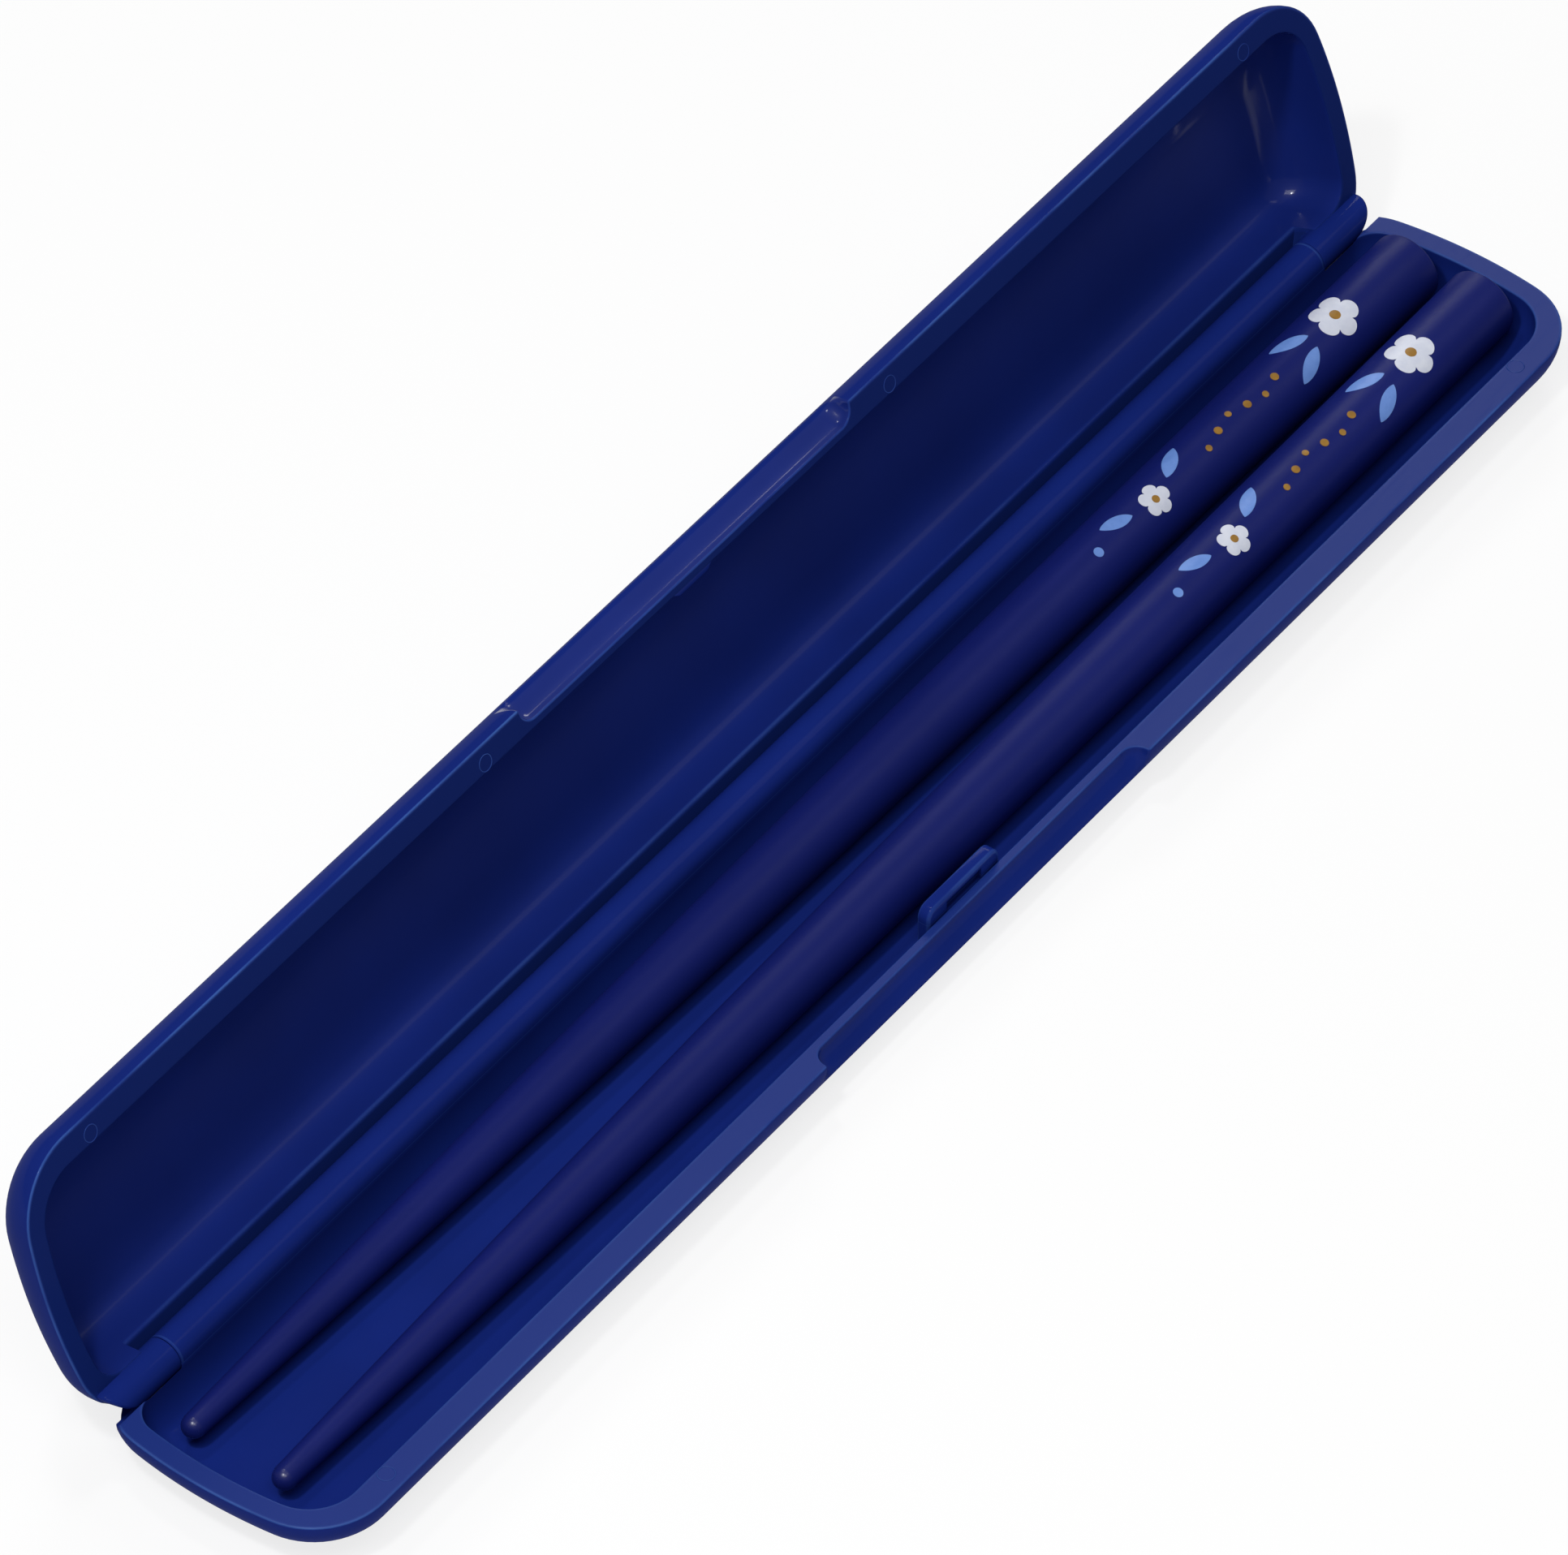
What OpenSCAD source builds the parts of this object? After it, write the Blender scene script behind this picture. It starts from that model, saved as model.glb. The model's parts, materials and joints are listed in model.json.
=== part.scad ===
// Hinged travel case with a pair of chopsticks in it, standing open with the lid back on its stop.
// Sizes are in millimetres. The origin is the middle of the base's underside: +X runs along the case
// towards the handles of the chopsticks, +Y points to the hinge and +Z is up.

/* [Chopsticks] */
// Length of a chopstick
stick_length = 180; // [150:1:230]
// Diameter at the handle end
butt_d = 7.2; // [6:0.1:9]
// Diameter at the eating end
tip_d = 2.3; // [1.8:0.1:3]
// How much of the taper lies near the tip: 1 is an even taper
taper_power = 2.4; // [1.5:0.1:3]
// Rounding of the handle end's edge
butt_round = 0.4; // [0.2:0.1:0.8]

/* [Room for the chopsticks] */
// Spare length inside the case
end_room = 5.7; // [4.5:0.1:12]
// Space between the handle ends and the end wall
butt_gap = 2.45; // [1.8:0.05:3.5]
// Space between the front chopstick's handle and the front wall
front_gap = 3.2; // [2.8:0.1:6]
// Space between the two handles
between_gap = 1.3; // [0.6:0.1:4]
// Space between the rear chopstick's handle and the hinge wall
rear_gap = 2.2; // [0.8:0.1:5]
// How far the front chopstick's tip lies towards the hinge from its handle
front_lean = 0.35; // [-1:0.05:2]
// How far the rear chopstick's tip lies towards the hinge from its handle
rear_lean = 1.9; // [-1:0.05:3]
// Clearance between a chopstick's belly and the floor
floor_gap = 0.15; // [0.1:0.05:0.4]
// Height inside the closed case beyond a handle's diameter
headroom = 4.7; // [3.5:0.1:8]

/* [Outline of the shells] */
// Width of the rim along the opening edge
front_rim = 2.8; // [2.4:0.05:4]
// Width of the rim at the ends
end_rim = 2.15; // [1.6:0.05:3.5]
// Radius of the bowed ends
end_bow = 53.6; // [45:0.1:120]
// Corner radius beside the opening edge
front_corner = 7.5; // [5.5:0.1:9]
// Corner radius beside the hinge
hinge_corner = 6.8; // [5:0.1:8]
// Corner radius inside, beside the opening edge
front_inner_corner = 4.85; // [3:0.05:6]
// Corner radius inside, beside the hinge
hinge_inner_corner = 2.9; // [2:0.05:4]
// Gap between the two rims when the case is shut
rim_gap = 0.2; // [0.1:0.05:0.5]
// Height of the straight wall next to a rim
rim_straight = 0.2; // [0.1:0.05:0.6]

/* [Base] */
// Depth inside the base
base_depth = 4.7; // [4:0.1:7]
// Thickness of the base's floor
base_floor = 1.5; // [1.2:0.1:2.5]
// How far the front wall curves in under the base
base_front_curve = 7; // [4:0.1:9]
// How far the end walls curve in under the base
base_end_curve = 8.5; // [4:0.1:9]
// How far the hinge wall curves in under the base
base_hinge_curve = 3; // [1:0.1:4]
// How far the floor curves up inside to the front wall
base_front_fillet = 4; // [1:0.1:5]
// How far the floor curves up inside to the end walls
base_end_fillet = 3.2; // [1:0.1:4]
// How far the floor curves up inside to the hinge wall
base_hinge_fillet = 2; // [1:0.1:4]

/* [Lid] */
// Thickness of the lid's roof
lid_roof = 1.4; // [1.1:0.1:2.5]
// How far the front wall curves in over the lid
lid_front_curve = 13; // [9:0.1:14]
// How far the end walls curve in over the lid
lid_end_curve = 11; // [8:0.1:12]
// How far the hinge wall curves in over the lid
lid_hinge_curve = 14; // [10:0.1:14]
// Squareness of the lid's hinge edge: 2 is round
lid_hinge_power = 3.5; // [3:0.1:5]
// How far the roof curves down inside to the front wall
lid_front_fillet = 9; // [5:0.1:10]
// How far the roof curves down inside to the end walls
lid_end_fillet = 5.5; // [4.5:0.1:9]
// How far the roof curves down inside to the hinge wall
lid_hinge_fillet = 10; // [6:0.1:11]

/* [Hinge] */
// Radius of the barrel and the knuckles
barrel_radius = 1.85; // [1.6:0.05:2.4]
// Step from the barrel to the faces of the hinge wall
barrel_step = 0.05; // [0.04:0.01:0.1]
// Length of each lid knuckle, measured along the middle of the hinge to the case's end
knuckle_length = 10; // [7:0.5:16]
// End gap between a knuckle and the barrel
knuckle_gap = 0.12; // [0.05:0.01:0.3]
// Room around a knuckle in the base
notch_gap = 0.4; // [0.3:0.05:0.6]
// How far the lid opens, in degrees
open_angle = 107; // [95:1:120]
// Clearance between the open lid's hinge wall and the base
stop_gap = 0.27; // [0.2:0.01:0.5]
// Clearance between the barrel and the lid's hinge wall
barrel_gap = 0.3; // [0.25:0.05:0.5]
// Height of the lid's hinge edge above the hinge axis when shut
hinge_edge = 1.5; // [1.2:0.1:2]
// Diameter of the hinge pins
pin_d = 1.5; // [1.2:0.1:2]
// Length of a hinge pin inside the barrel
pin_reach = 6; // [4:0.5:12]
// Radial running clearance of the pins in the barrel
pin_running_gap = 0.05; // [0.02:0.01:0.08]
// Radial interference of the pins in the knuckles
pin_press = 0.01; // [0.005:0.005:0.02]
// How far the pins' outer ends sit below the knuckles' ends
pin_sink = 0.3; // [0.1:0.1:0.8]

/* [Finger recess] */
// Length of the recess along the opening edge
recess_length = 48.2; // [24:0.2:80]
// Depth of the recess into the rim
recess_depth = 1.88; // [1:0.02:2]
// Height of the lip left at the rim
recess_lip = 0.8; // [0.5:0.1:1.2]
// Distance from the rim at which the recess runs out
recess_drop = 2.9; // [2:0.1:3.5]
// Corner radius at the ends of the recess
recess_round = 1.8; // [0.5:0.1:1.8]

/* [Latch] */
// Width of the tongue on the base
tongue_width = 10.6; // [9:0.1:16]
// Height of the tongue above the rim
tongue_height = 1.6; // [1.4:0.05:2.2]
// Thickness of the tongue
tongue_thickness = 0.95; // [0.8:0.05:1.6]
// Corner radius of the tongue's top
tongue_round = 1.2; // [0.4:0.1:1.4]
// Length of the slot between the tongue and the wall
tongue_slot = 5; // [4:0.1:8]
// Depth of the tongue's root below the rim
tongue_root = 0.4; // [0.3:0.05:0.8]
// How far the ribs that carry the tongue run down the wall
tongue_rib = 3.9; // [3.7:0.1:4.3]
// How far the catch bead stands out of the lid's wall
bead_reach = 0.2; // [0.15:0.05:0.6]
// Height of the catch bead
bead_height = 0.9; // [0.6:0.05:1]
// Distance of the catch bead from the lid's rim
bead_up = 0.1; // [0.05:0.05:0.2]
// How much longer the bead is at its foot, at each end
bead_slope = 0.74; // [0.3:0.02:1]
// Clearance between the bead and the tongue
latch_gap = 0.3; // [0.25:0.05:0.5]

/* [Hidden] */

shell_colour = [0.055, 0.11, 0.41];
stick_colour = [0.094, 0.118, 0.41];
pin_colour = [0.72, 0.73, 0.75];

round_sides = 64;
corner_steps = 6;
bow_steps = 4;
wall_steps = 7;
stick_steps = 20;
butt_steps = 4;
tip_steps = 5;
slice = 0.01;
past = 1;

// Outline of both shells, worked out from the chopsticks and the room around them
hinge_wall = 2*(barrel_radius + barrel_step);
inner_width = 2*butt_d + front_gap + between_gap + rear_gap;
case_width = front_rim + inner_width + hinge_wall;
case_length = stick_length + end_room + 2*end_rim;
half_length = case_length/2;
front_y = -case_width/2;
hinge_y = case_width/2;
inner_front_y = front_y + front_rim;
inner_hinge_y = hinge_y - hinge_wall;
inner_half_length = half_length - end_rim;

// Heights
base_height = base_floor + base_depth;
lid_rim_z = base_height + rim_gap;
lid_depth = butt_d + headroom - base_depth - rim_gap;
lid_height = lid_depth + lid_roof;

// Hinge axis, barrel and stop
axis_y = hinge_y - hinge_wall/2;
axis_z = base_height + rim_gap/2;
barrel_half = half_length - knuckle_length;
wall_half = hinge_wall/2;
cutout_half = barrel_half + knuckle_gap;
pocket_fall = wall_half*(1 - cos(open_angle))/sin(open_angle) + notch_gap;
pocket_start = wall_half*cos(open_angle) - slice;
pin_radius = pin_d/2;
hinge_corner_y = hinge_y - hinge_corner;
hinge_corner_x = half_length - end_bow + sqrt(pow(end_bow - hinge_corner, 2) - pow(hinge_corner_y, 2));
knuckle_end = hinge_corner_x + sqrt(pow(hinge_corner, 2) - pow(axis_y + pin_radius - hinge_corner_y, 2));
pin_inner_x = barrel_half - pin_reach;
pin_outer_x = knuckle_end - pin_sink;

// Latch
bead_y = inner_front_y + bead_reach;
tongue_y = bead_y + latch_gap;

// How the chopsticks lie: balanced on the belly, where the axis is parallel to the underside
belly = 0.583;
function stick_radius(t) = butt_d/2 - (butt_d - tip_d)/2*pow(1 - t, taper_power);
belly_slope = (butt_d - tip_d)/2*taper_power*pow(1 - belly, taper_power - 1);
tip_z = base_floor + floor_gap + stick_radius(belly) - belly_slope*belly;
butt_z = tip_z + belly_slope;
butt_x = inner_half_length - butt_gap;
front_stick_y = inner_front_y + front_gap + butt_d/2;
rear_stick_y = inner_hinge_y - rear_gap - butt_d/2;

// Points on an arc, without its first point
function arc(centre, radius, from, to, steps) =
    [for (i = [1:steps]) let (a = from + (to - from)*i/steps) centre + radius*[cos(a), sin(a)]];

// Half of a plan outline, from the front edge round one bowed end to the hinge edge
function half_outline(length, front, hinge, front_r, hinge_r) =
    let (bow_x = length - end_bow)
    let (front_cy = front + front_r)
    let (hinge_cy = hinge - hinge_r)
    let (front_cx = sqrt(pow(end_bow - front_r, 2) - pow(front_cy, 2)))
    let (hinge_cx = sqrt(pow(end_bow - hinge_r, 2) - pow(hinge_cy, 2)))
    let (front_a = atan2(front_cy, front_cx))
    let (hinge_a = atan2(hinge_cy, hinge_cx))
    concat([[bow_x + front_cx, front]],
           arc([bow_x + front_cx, front_cy], front_r, -90, front_a, corner_steps),
           arc([bow_x, 0], end_bow, front_a, hinge_a, bow_steps),
           arc([bow_x + hinge_cx, hinge_cy], hinge_r, hinge_a, 90, corner_steps));

// The whole plan outline
function outline(length, front, hinge, front_r, hinge_r) =
    let (half = half_outline(length, front, hinge, front_r, hinge_r))
    concat(half, [for (i = [len(half) - 1:-1:0]) [-half[i][0], half[i][1]]]);

// How far a curved wall has come in at a share of its height; 2 makes a quarter ellipse
function come_in(curve, share, power) = curve*(1 - pow(max(0, 1 - pow(share, power)), 1/power));

// A closed form over an outline: walls that start straight and curve in to a flat top
module dome(length, front, hinge, front_r, hinge_r, height, straight, curves, hinge_power) {
    width = hinge - front;
    hull() {
        linear_extrude(slice)
            polygon(outline(length, front, hinge, front_r, hinge_r));
        for (i = [0:wall_steps]) {
            share = sin(90*i/wall_steps);
            front_in = come_in(curves[0], share, 2);
            end_in = come_in(curves[1], share, 2);
            hinge_in = come_in(curves[2], share, hinge_power);
            left = (width - front_in - hinge_in)/width;
            translate([0, 0, straight + (height - straight - slice)*share])
                linear_extrude(slice)
                    polygon(outline(length - end_in, front + front_in, hinge - hinge_in,
                                    front_r*left, hinge_r*left));
        }
    }
}

module base_body() {
    translate([0, 0, base_height])
        mirror([0, 0, 1])
            dome(half_length, front_y, hinge_y, front_corner, hinge_corner, base_height, rim_straight,
                 [base_front_curve, base_end_curve, base_hinge_curve], 2);
}

module base_cavity() {
    translate([0, 0, base_height + past])
        mirror([0, 0, 1])
            dome(inner_half_length, inner_front_y, inner_hinge_y, front_inner_corner, hinge_inner_corner,
                 base_depth + past, past, [base_front_fillet, base_end_fillet, base_hinge_fillet], 2);
}

module lid_body() {
    translate([0, 0, lid_rim_z])
        dome(half_length, front_y, hinge_y, front_corner, hinge_corner, lid_height, rim_straight,
             [lid_front_curve, lid_end_curve, lid_hinge_curve], lid_hinge_power);
}

module lid_cavity() {
    translate([0, 0, lid_rim_z - past])
        dome(inner_half_length, inner_front_y, inner_hinge_y, front_inner_corner, hinge_inner_corner,
             lid_depth + past, past, [lid_front_fillet, lid_end_fillet, lid_hinge_fillet], lid_hinge_power);
}

// A cylinder on the hinge axis, between two places along it
module on_axis(from, to, radius) {
    translate([from, axis_y, axis_z])
        rotate([0, 90, 0])
            cylinder(h = to - from, r = radius, $fn = round_sides);
}

// Plan of the finger recess: a slot with round inner corners, open to the front
module recess_plan() {
    half = recess_length/2;
    back = front_y + recess_depth;
    right = concat([[half, front_y - past]],
                   [[half, back - recess_round]],
                   arc([half - recess_round, back - recess_round], recess_round, 0, 90, corner_steps));
    polygon(concat(right, [for (i = [len(right) - 1:-1:0]) [-right[i][0], right[i][1]]]));
}

// Cross-section of the finger recess: a lip at the rim, then a slope out to the wall
module recess_section(wall_in) {
    back = front_y + recess_depth;
    polygon([[front_y - past, -past], [back, -past], [back, recess_lip], [front_y + wall_in, recess_drop],
             [front_y - past, recess_drop]]);
}

// Finger recess below a rim at height zero, going up
module recess_cut(wall_in) {
    intersection() {
        translate([0, 0, -past])
            linear_extrude(recess_drop + 2*past)
                recess_plan();
        translate([-recess_length, 0, 0])
            rotate([90, 0, 90])
                linear_extrude(2*recess_length)
                    recess_section(wall_in);
    }
}

// Face of the latch tongue, with the rim at height zero
module tongue_face() {
    half = tongue_width/2;
    right = concat([[half, -tongue_rib]],
                   [[half, tongue_height - tongue_round]],
                   arc([half - tongue_round, tongue_height - tongue_round], tongue_round, 0, 90, corner_steps));
    polygon(concat(right, [for (i = [len(right) - 1:-1:0]) [-right[i][0], right[i][1]]]));
}

// Latch tongue, carried by a rib at each end of the slot between it and the wall
module latch_tongue() {
    rib_width = (tongue_width - tongue_slot)/2 - tongue_root;
    translate([0, tongue_y + tongue_thickness, base_height])
        rotate([90, 0, 0])
            linear_extrude(tongue_thickness)
                tongue_face();
    for (side = [0, 1])
        mirror([side, 0, 0])
            translate([tongue_slot/2, inner_front_y - front_rim/4, base_height - tongue_rib])
                cube([rib_width, tongue_y + tongue_thickness/2 - inner_front_y + front_rim/4,
                      tongue_rib - tongue_root]);
}

// Room for a lid knuckle at one end of the barrel, also when the lid stands open
module knuckle_room() {
    on_axis(barrel_half, half_length + past, barrel_radius + notch_gap);
    translate([barrel_half, axis_y + pocket_start, axis_z - pocket_fall])
        cube([knuckle_length + past, hinge_wall, pocket_fall + past]);
}

module base_shell() {
    color(shell_colour)
        difference() {
            union() {
                difference() {
                    base_body();
                    base_cavity();
                }
                on_axis(-barrel_half, barrel_half, barrel_radius);
                latch_tongue();
            }
            for (side = [0, 1])
                mirror([side, 0, 0]) {
                    knuckle_room();
                    on_axis(pin_inner_x - past, barrel_half + past, pin_radius + pin_running_gap);
                }
            translate([0, 0, base_height])
                mirror([0, 0, 1])
                    recess_cut(come_in(base_front_curve, recess_drop/base_height, 2));
        }
}

// A lid knuckle, with its end cut to the outline of the case
module knuckle() {
    intersection() {
        on_axis(barrel_half + knuckle_gap, half_length, barrel_radius);
        translate([0, 0, axis_z - 2*barrel_radius])
            linear_extrude(4*barrel_radius)
                polygon(outline(half_length, front_y, hinge_y, front_corner, hinge_corner));
    }
}

// Catch bead: a low wedge-ended rib on the lid's inner front wall
module catch_bead() {
    foot = tongue_slot/2 + bead_slope;
    translate([0, 0, lid_rim_z + bead_up])
        linear_extrude(bead_height)
            polygon([[-foot, inner_front_y - past], [foot, inner_front_y - past], [foot, inner_front_y],
                     [foot - bead_slope, bead_y], [bead_slope - foot, bead_y], [-foot, inner_front_y]]);
}

module lid_shut() {
    difference() {
        union() {
            difference() {
                lid_body();
                lid_cavity();
            }
            knuckle();
            mirror([1, 0, 0])
                knuckle();
            catch_bead();
        }
        translate([-cutout_half, inner_hinge_y - past, axis_z - hinge_wall])
            cube([2*cutout_half, hinge_wall + 2*past, hinge_wall + hinge_edge]);
        for (side = [0, 1])
            mirror([side, 0, 0])
                on_axis(barrel_half, half_length, pin_radius - pin_press);
        translate([0, 0, lid_rim_z])
            recess_cut(come_in(lid_front_curve, recess_drop/lid_height, 2));
    }
}

// Turns a piece of the shut lid to where it stands open
module opened() {
    translate([0, axis_y, axis_z])
        rotate([-open_angle, 0, 0])
            translate([0, -axis_y, -axis_z])
                children();
}

// Room that the open lid leaves for the barrel and for the base's hinge wall below it
module barrel_room() {
    on_axis(-cutout_half, cutout_half, barrel_radius + barrel_gap);
    translate([-cutout_half, axis_y - hinge_wall, base_height - 2*hinge_wall])
        cube([2*cutout_half, hinge_wall + wall_half + stop_gap, 2*hinge_wall + stop_gap]);
}

module lid_shell() {
    color(shell_colour)
        difference() {
            opened()
                lid_shut();
            barrel_room();
        }
}

module hinge_pin() {
    color(pin_colour)
        on_axis(pin_inner_x, pin_outer_x, pin_radius);
}

module hinge_pin_left() {
    mirror([1, 0, 0])
        hinge_pin();
}

module hinge_pin_right() {
    hinge_pin();
}

// A chopstick's half section: rounded tip, tapering side and a slightly rounded flat butt
module stick_section() {
    tip_radius = tip_d/2;
    tip_arc = [for (i = [0:tip_steps - 1]) let (a = 90*i/tip_steps) [tip_radius*sin(a), tip_radius*(1 - cos(a))]];
    side_start = tip_radius/stick_length;
    side_end = 1 - butt_round/stick_length;
    side = [for (i = [0:stick_steps])
                let (t = side_start + (side_end - side_start)*i/stick_steps)
                [stick_radius(t), stick_length*t]];
    butt = arc([stick_radius(side_end) - butt_round, stick_length - butt_round], butt_round, 0, 90, butt_steps);
    polygon(concat(tip_arc, side, butt, [[0, stick_length]]));
}

module chopstick(handle_y, lean) {
    run = sqrt(pow(stick_length, 2) - pow(lean, 2) - pow(belly_slope, 2));
    color(stick_colour)
        translate([butt_x - run, handle_y + lean, tip_z])
            rotate([0, acos(belly_slope/stick_length), atan2(-lean, run)])
                rotate_extrude($fn = round_sides)
                    stick_section();
}

module chopstick_front() {
    chopstick(front_stick_y, front_lean);
}

module chopstick_rear() {
    chopstick(rear_stick_y, rear_lean);
}

base_shell();
lid_shell();
hinge_pin_left();
hinge_pin_right();
chopstick_front();
chopstick_rear();
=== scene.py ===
import json
import math
from collections import namedtuple

import bmesh
import bpy
from mathutils import Matrix, Vector


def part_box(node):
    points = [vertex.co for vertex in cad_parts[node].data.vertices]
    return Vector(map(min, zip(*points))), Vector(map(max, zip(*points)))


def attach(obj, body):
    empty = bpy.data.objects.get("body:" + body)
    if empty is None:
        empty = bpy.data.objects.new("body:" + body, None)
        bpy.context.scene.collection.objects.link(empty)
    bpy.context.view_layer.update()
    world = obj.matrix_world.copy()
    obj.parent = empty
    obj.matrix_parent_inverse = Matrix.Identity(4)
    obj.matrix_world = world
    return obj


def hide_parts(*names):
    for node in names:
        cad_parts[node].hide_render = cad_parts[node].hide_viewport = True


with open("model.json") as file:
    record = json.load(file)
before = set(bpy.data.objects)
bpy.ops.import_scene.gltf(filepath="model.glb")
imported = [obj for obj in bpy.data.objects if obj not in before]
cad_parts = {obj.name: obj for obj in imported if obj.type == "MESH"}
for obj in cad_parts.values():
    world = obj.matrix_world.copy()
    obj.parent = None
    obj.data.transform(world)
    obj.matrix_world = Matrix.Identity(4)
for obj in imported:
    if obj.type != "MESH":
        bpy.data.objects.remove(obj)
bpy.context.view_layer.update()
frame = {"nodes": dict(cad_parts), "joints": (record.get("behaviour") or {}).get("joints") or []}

# Sizes are in millimetres, as in the solids, and meshes are turned into metres as they are made
MM = 0.001

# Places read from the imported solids
base_low, base_high = (corner/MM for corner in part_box("base_shell"))
hinge_joint = next(joint for joint in frame["joints"] if joint["name"] == "lid_hinge")
AXIS_Y = hinge_joint["pos_m"][1]/MM
AXIS_Z = hinge_joint["pos_m"][2]/MM
OPEN_ANGLE = math.radians(hinge_joint["range_deg"][1])
HALF_LENGTH = base_high.x
FRONT_Y = base_low.y
HINGE_Y = base_high.y

# Outline of the shells
FRONT_RIM = 2.8
END_RIM = 2.15
END_BOW = 53.6
FRONT_CORNER = 7.5
HINGE_CORNER = 6.8
FRONT_INNER_CORNER = 4.85
HINGE_INNER_CORNER = 2.9
HINGE_WALL = 2*(HINGE_Y - AXIS_Y)
RIM_GAP = 0.2
RIM_STRAIGHT = 0.2
EDGE_ROUND = 0.16
INNER_FRONT_Y = FRONT_Y + FRONT_RIM
INNER_HINGE_Y = HINGE_Y - HINGE_WALL
INNER_HALF_LENGTH = HALF_LENGTH - END_RIM

# Heights of the shells
BASE_DEPTH = 4.7
BASE_HEIGHT = AXIS_Z - RIM_GAP/2
LID_RIM_Z = AXIS_Z + RIM_GAP/2
LID_DEPTH = 7.0
LID_HEIGHT = 8.4

# Hinge
BARREL_RADIUS = 1.85
KNUCKLE_LENGTH = 10
BARREL_HALF = HALF_LENGTH - KNUCKLE_LENGTH
BARREL_GAP = 0.12
HINGE_EDGE = 2.5
HINGE_EDGE_ROUND = 0.3
KNUCKLE_GAP = 0.08
KNUCKLE_ROUND = 0.45
KNUCKLE_SET_BACK = KNUCKLE_ROUND/3
KNUCKLE_CHAMFER = 0.04
NOTCH_RADIUS = 1.97
NOTCH_EDGE = 0.05
STOP_GAP = 0.06
POCKET_SPARE = 0.4
PIN_REACH = 6.5
PIN_BORE = 0.8
PIN_SEAT = 0.76
PIN_SEAT_EDGE = 0.08
PIN_SEAT_START = BARREL_HALF - 1
CUT_END_RUN = 0.4
CUT_END_PAST = 1.3
POCKET_FALL = HINGE_WALL/2*(1 - math.cos(OPEN_ANGLE))/math.sin(OPEN_ANGLE) + POCKET_SPARE

# Finger recess
RECESS_HALF = 24.1
RECESS_DEPTH = 1.88
RECESS_ROUND = 1.6
RECESS_EDGE = 0.25
RECESS_LIP = 0.7
RECESS_DROP = 2.9
RECESS_EASE = 0.35
RECESS_SIDE = 1
RECESS_FLOOR_STEPS = 4

# Latch
TONGUE_WIDTH = 10.6
TONGUE_HEIGHT = 1.6
TONGUE_ROUND = 1.2
TONGUE_RIB = 3.9
TONGUE_FRONT_Y = INNER_FRONT_Y + 0.12
TONGUE_REAR_Y = INNER_FRONT_Y + 1.45
TONGUE_FRONT_EDGE = 0.35
TONGUE_REAR_EDGE = 0.22
SLOT_HALF = 2.6
SLOT_Y = INNER_FRONT_Y + 0.5
SLOT_LOW = -0.5
SLOT_HIGH = 1.0
SLOT_EDGE = 0.08
BEAD_REACH = 0.44
BEAD_HEIGHT = 0.7
BEAD_UP = 0.02
BEAD_FOOT_HALF = 2.75
BEAD_SLOPE = 0.7
BEAD_EDGE = 0.1
BEAD_ROOT = 0.5

# Chopsticks
STICK_LENGTH = 180.0
BUTT_RADIUS = 3.6
TIP_RADIUS = 1.15
TAPER_POWER = 2.4
BUTT_ROUND = 0.4
BELLY = 0.583
BUTT_GAP = 2.45
FLOOR_GAP = 0.15
FRONT_GAP = 3.2
REAR_GAP = 2.2
FRONT_LEAN = 0.35
REAR_LEAN = 1.9
FRONT_HANDLE_Y = INNER_FRONT_Y + FRONT_GAP + BUTT_RADIUS
REAR_HANDLE_Y = INNER_HINGE_Y - REAR_GAP - BUTT_RADIUS

# Marks that the ejector pins leave on the rims
MARK_RADIUS = 0.875
MARK_WIDTH = 0.14
MARK_CREST = (0.35, 0.65)
MARK_RISE = 0.05
MARK_FLOOR = MARK_RISE/10
MARK_SINK = 0.2
BASE_MARKS = [(-84.5, -12.0), (84.5, -12.0)]
LID_MARKS = [(-84.3, -12.0), (-29.6, -12.0), (29.6, -12.0), (84.3, -12.0)]

# Turned forms end in a tiny ring on their axis; cutting tools reach past what they cut and shave the barrel
AXIS_RADIUS = 0.01
PAST = 3
SHAVE = 0.002

# Mesh clean-up: how near points are joined and how short edges are dropped, in new and in carved meshes
WELD = 0.0002
SHORTEST = 0.0001
CARVED_WELD = 0.0005
CARVED_SHORTEST = 0.0002

# Wear of the edges and the highlight painted on them, from 0 to 1, and how far from its ends the barrel is
# rubbed and painted lighter
BASE_INNER_WEAR_AND_HIGHLIGHT = 0.6
LID_INNER_WEAR_AND_HIGHLIGHT = 0
CUT_WEAR_AND_HIGHLIGHT = 0.35
RECESS_WEAR_AND_HIGHLIGHT = 0.45
TONGUE_WEAR_AND_HIGHLIGHT = 0.5
EDGE_CORE = 0.3
EDGE_FADE = 0.4
SEAM_RUN = 0.25

# Polish: -1 is finely etched with a darker colour painted as shade, 0 as moulded, SATIN a soft shine and 1 a
# full one
SATIN = 0.3
BEND_POLISH = 0.45
BEND_SHARE = 0.4
ROOF_SHARE = 0.97
RECESS_POLISH_SHARE = 0.8

# Shine: coat weights, specular levels, roughness added on soft faces, the base rim's matt band and its
# painted sheen
MOULDED_COAT = 0.07
ETCHING_LOSS = 0.05
SATIN_COAT = 0.16
MATT_COAT = 0.36
STICK_COAT = 0.28
POLISHED_SPECULAR = 0.16
TIP_SPECULAR = 0.3
INK_SPECULAR = 0.35
SOFT_ROUGHNESS = 0.35
MATT_SHEEN_SHARE = 0.8
MATT_HALF_BAND = 0.04

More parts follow.
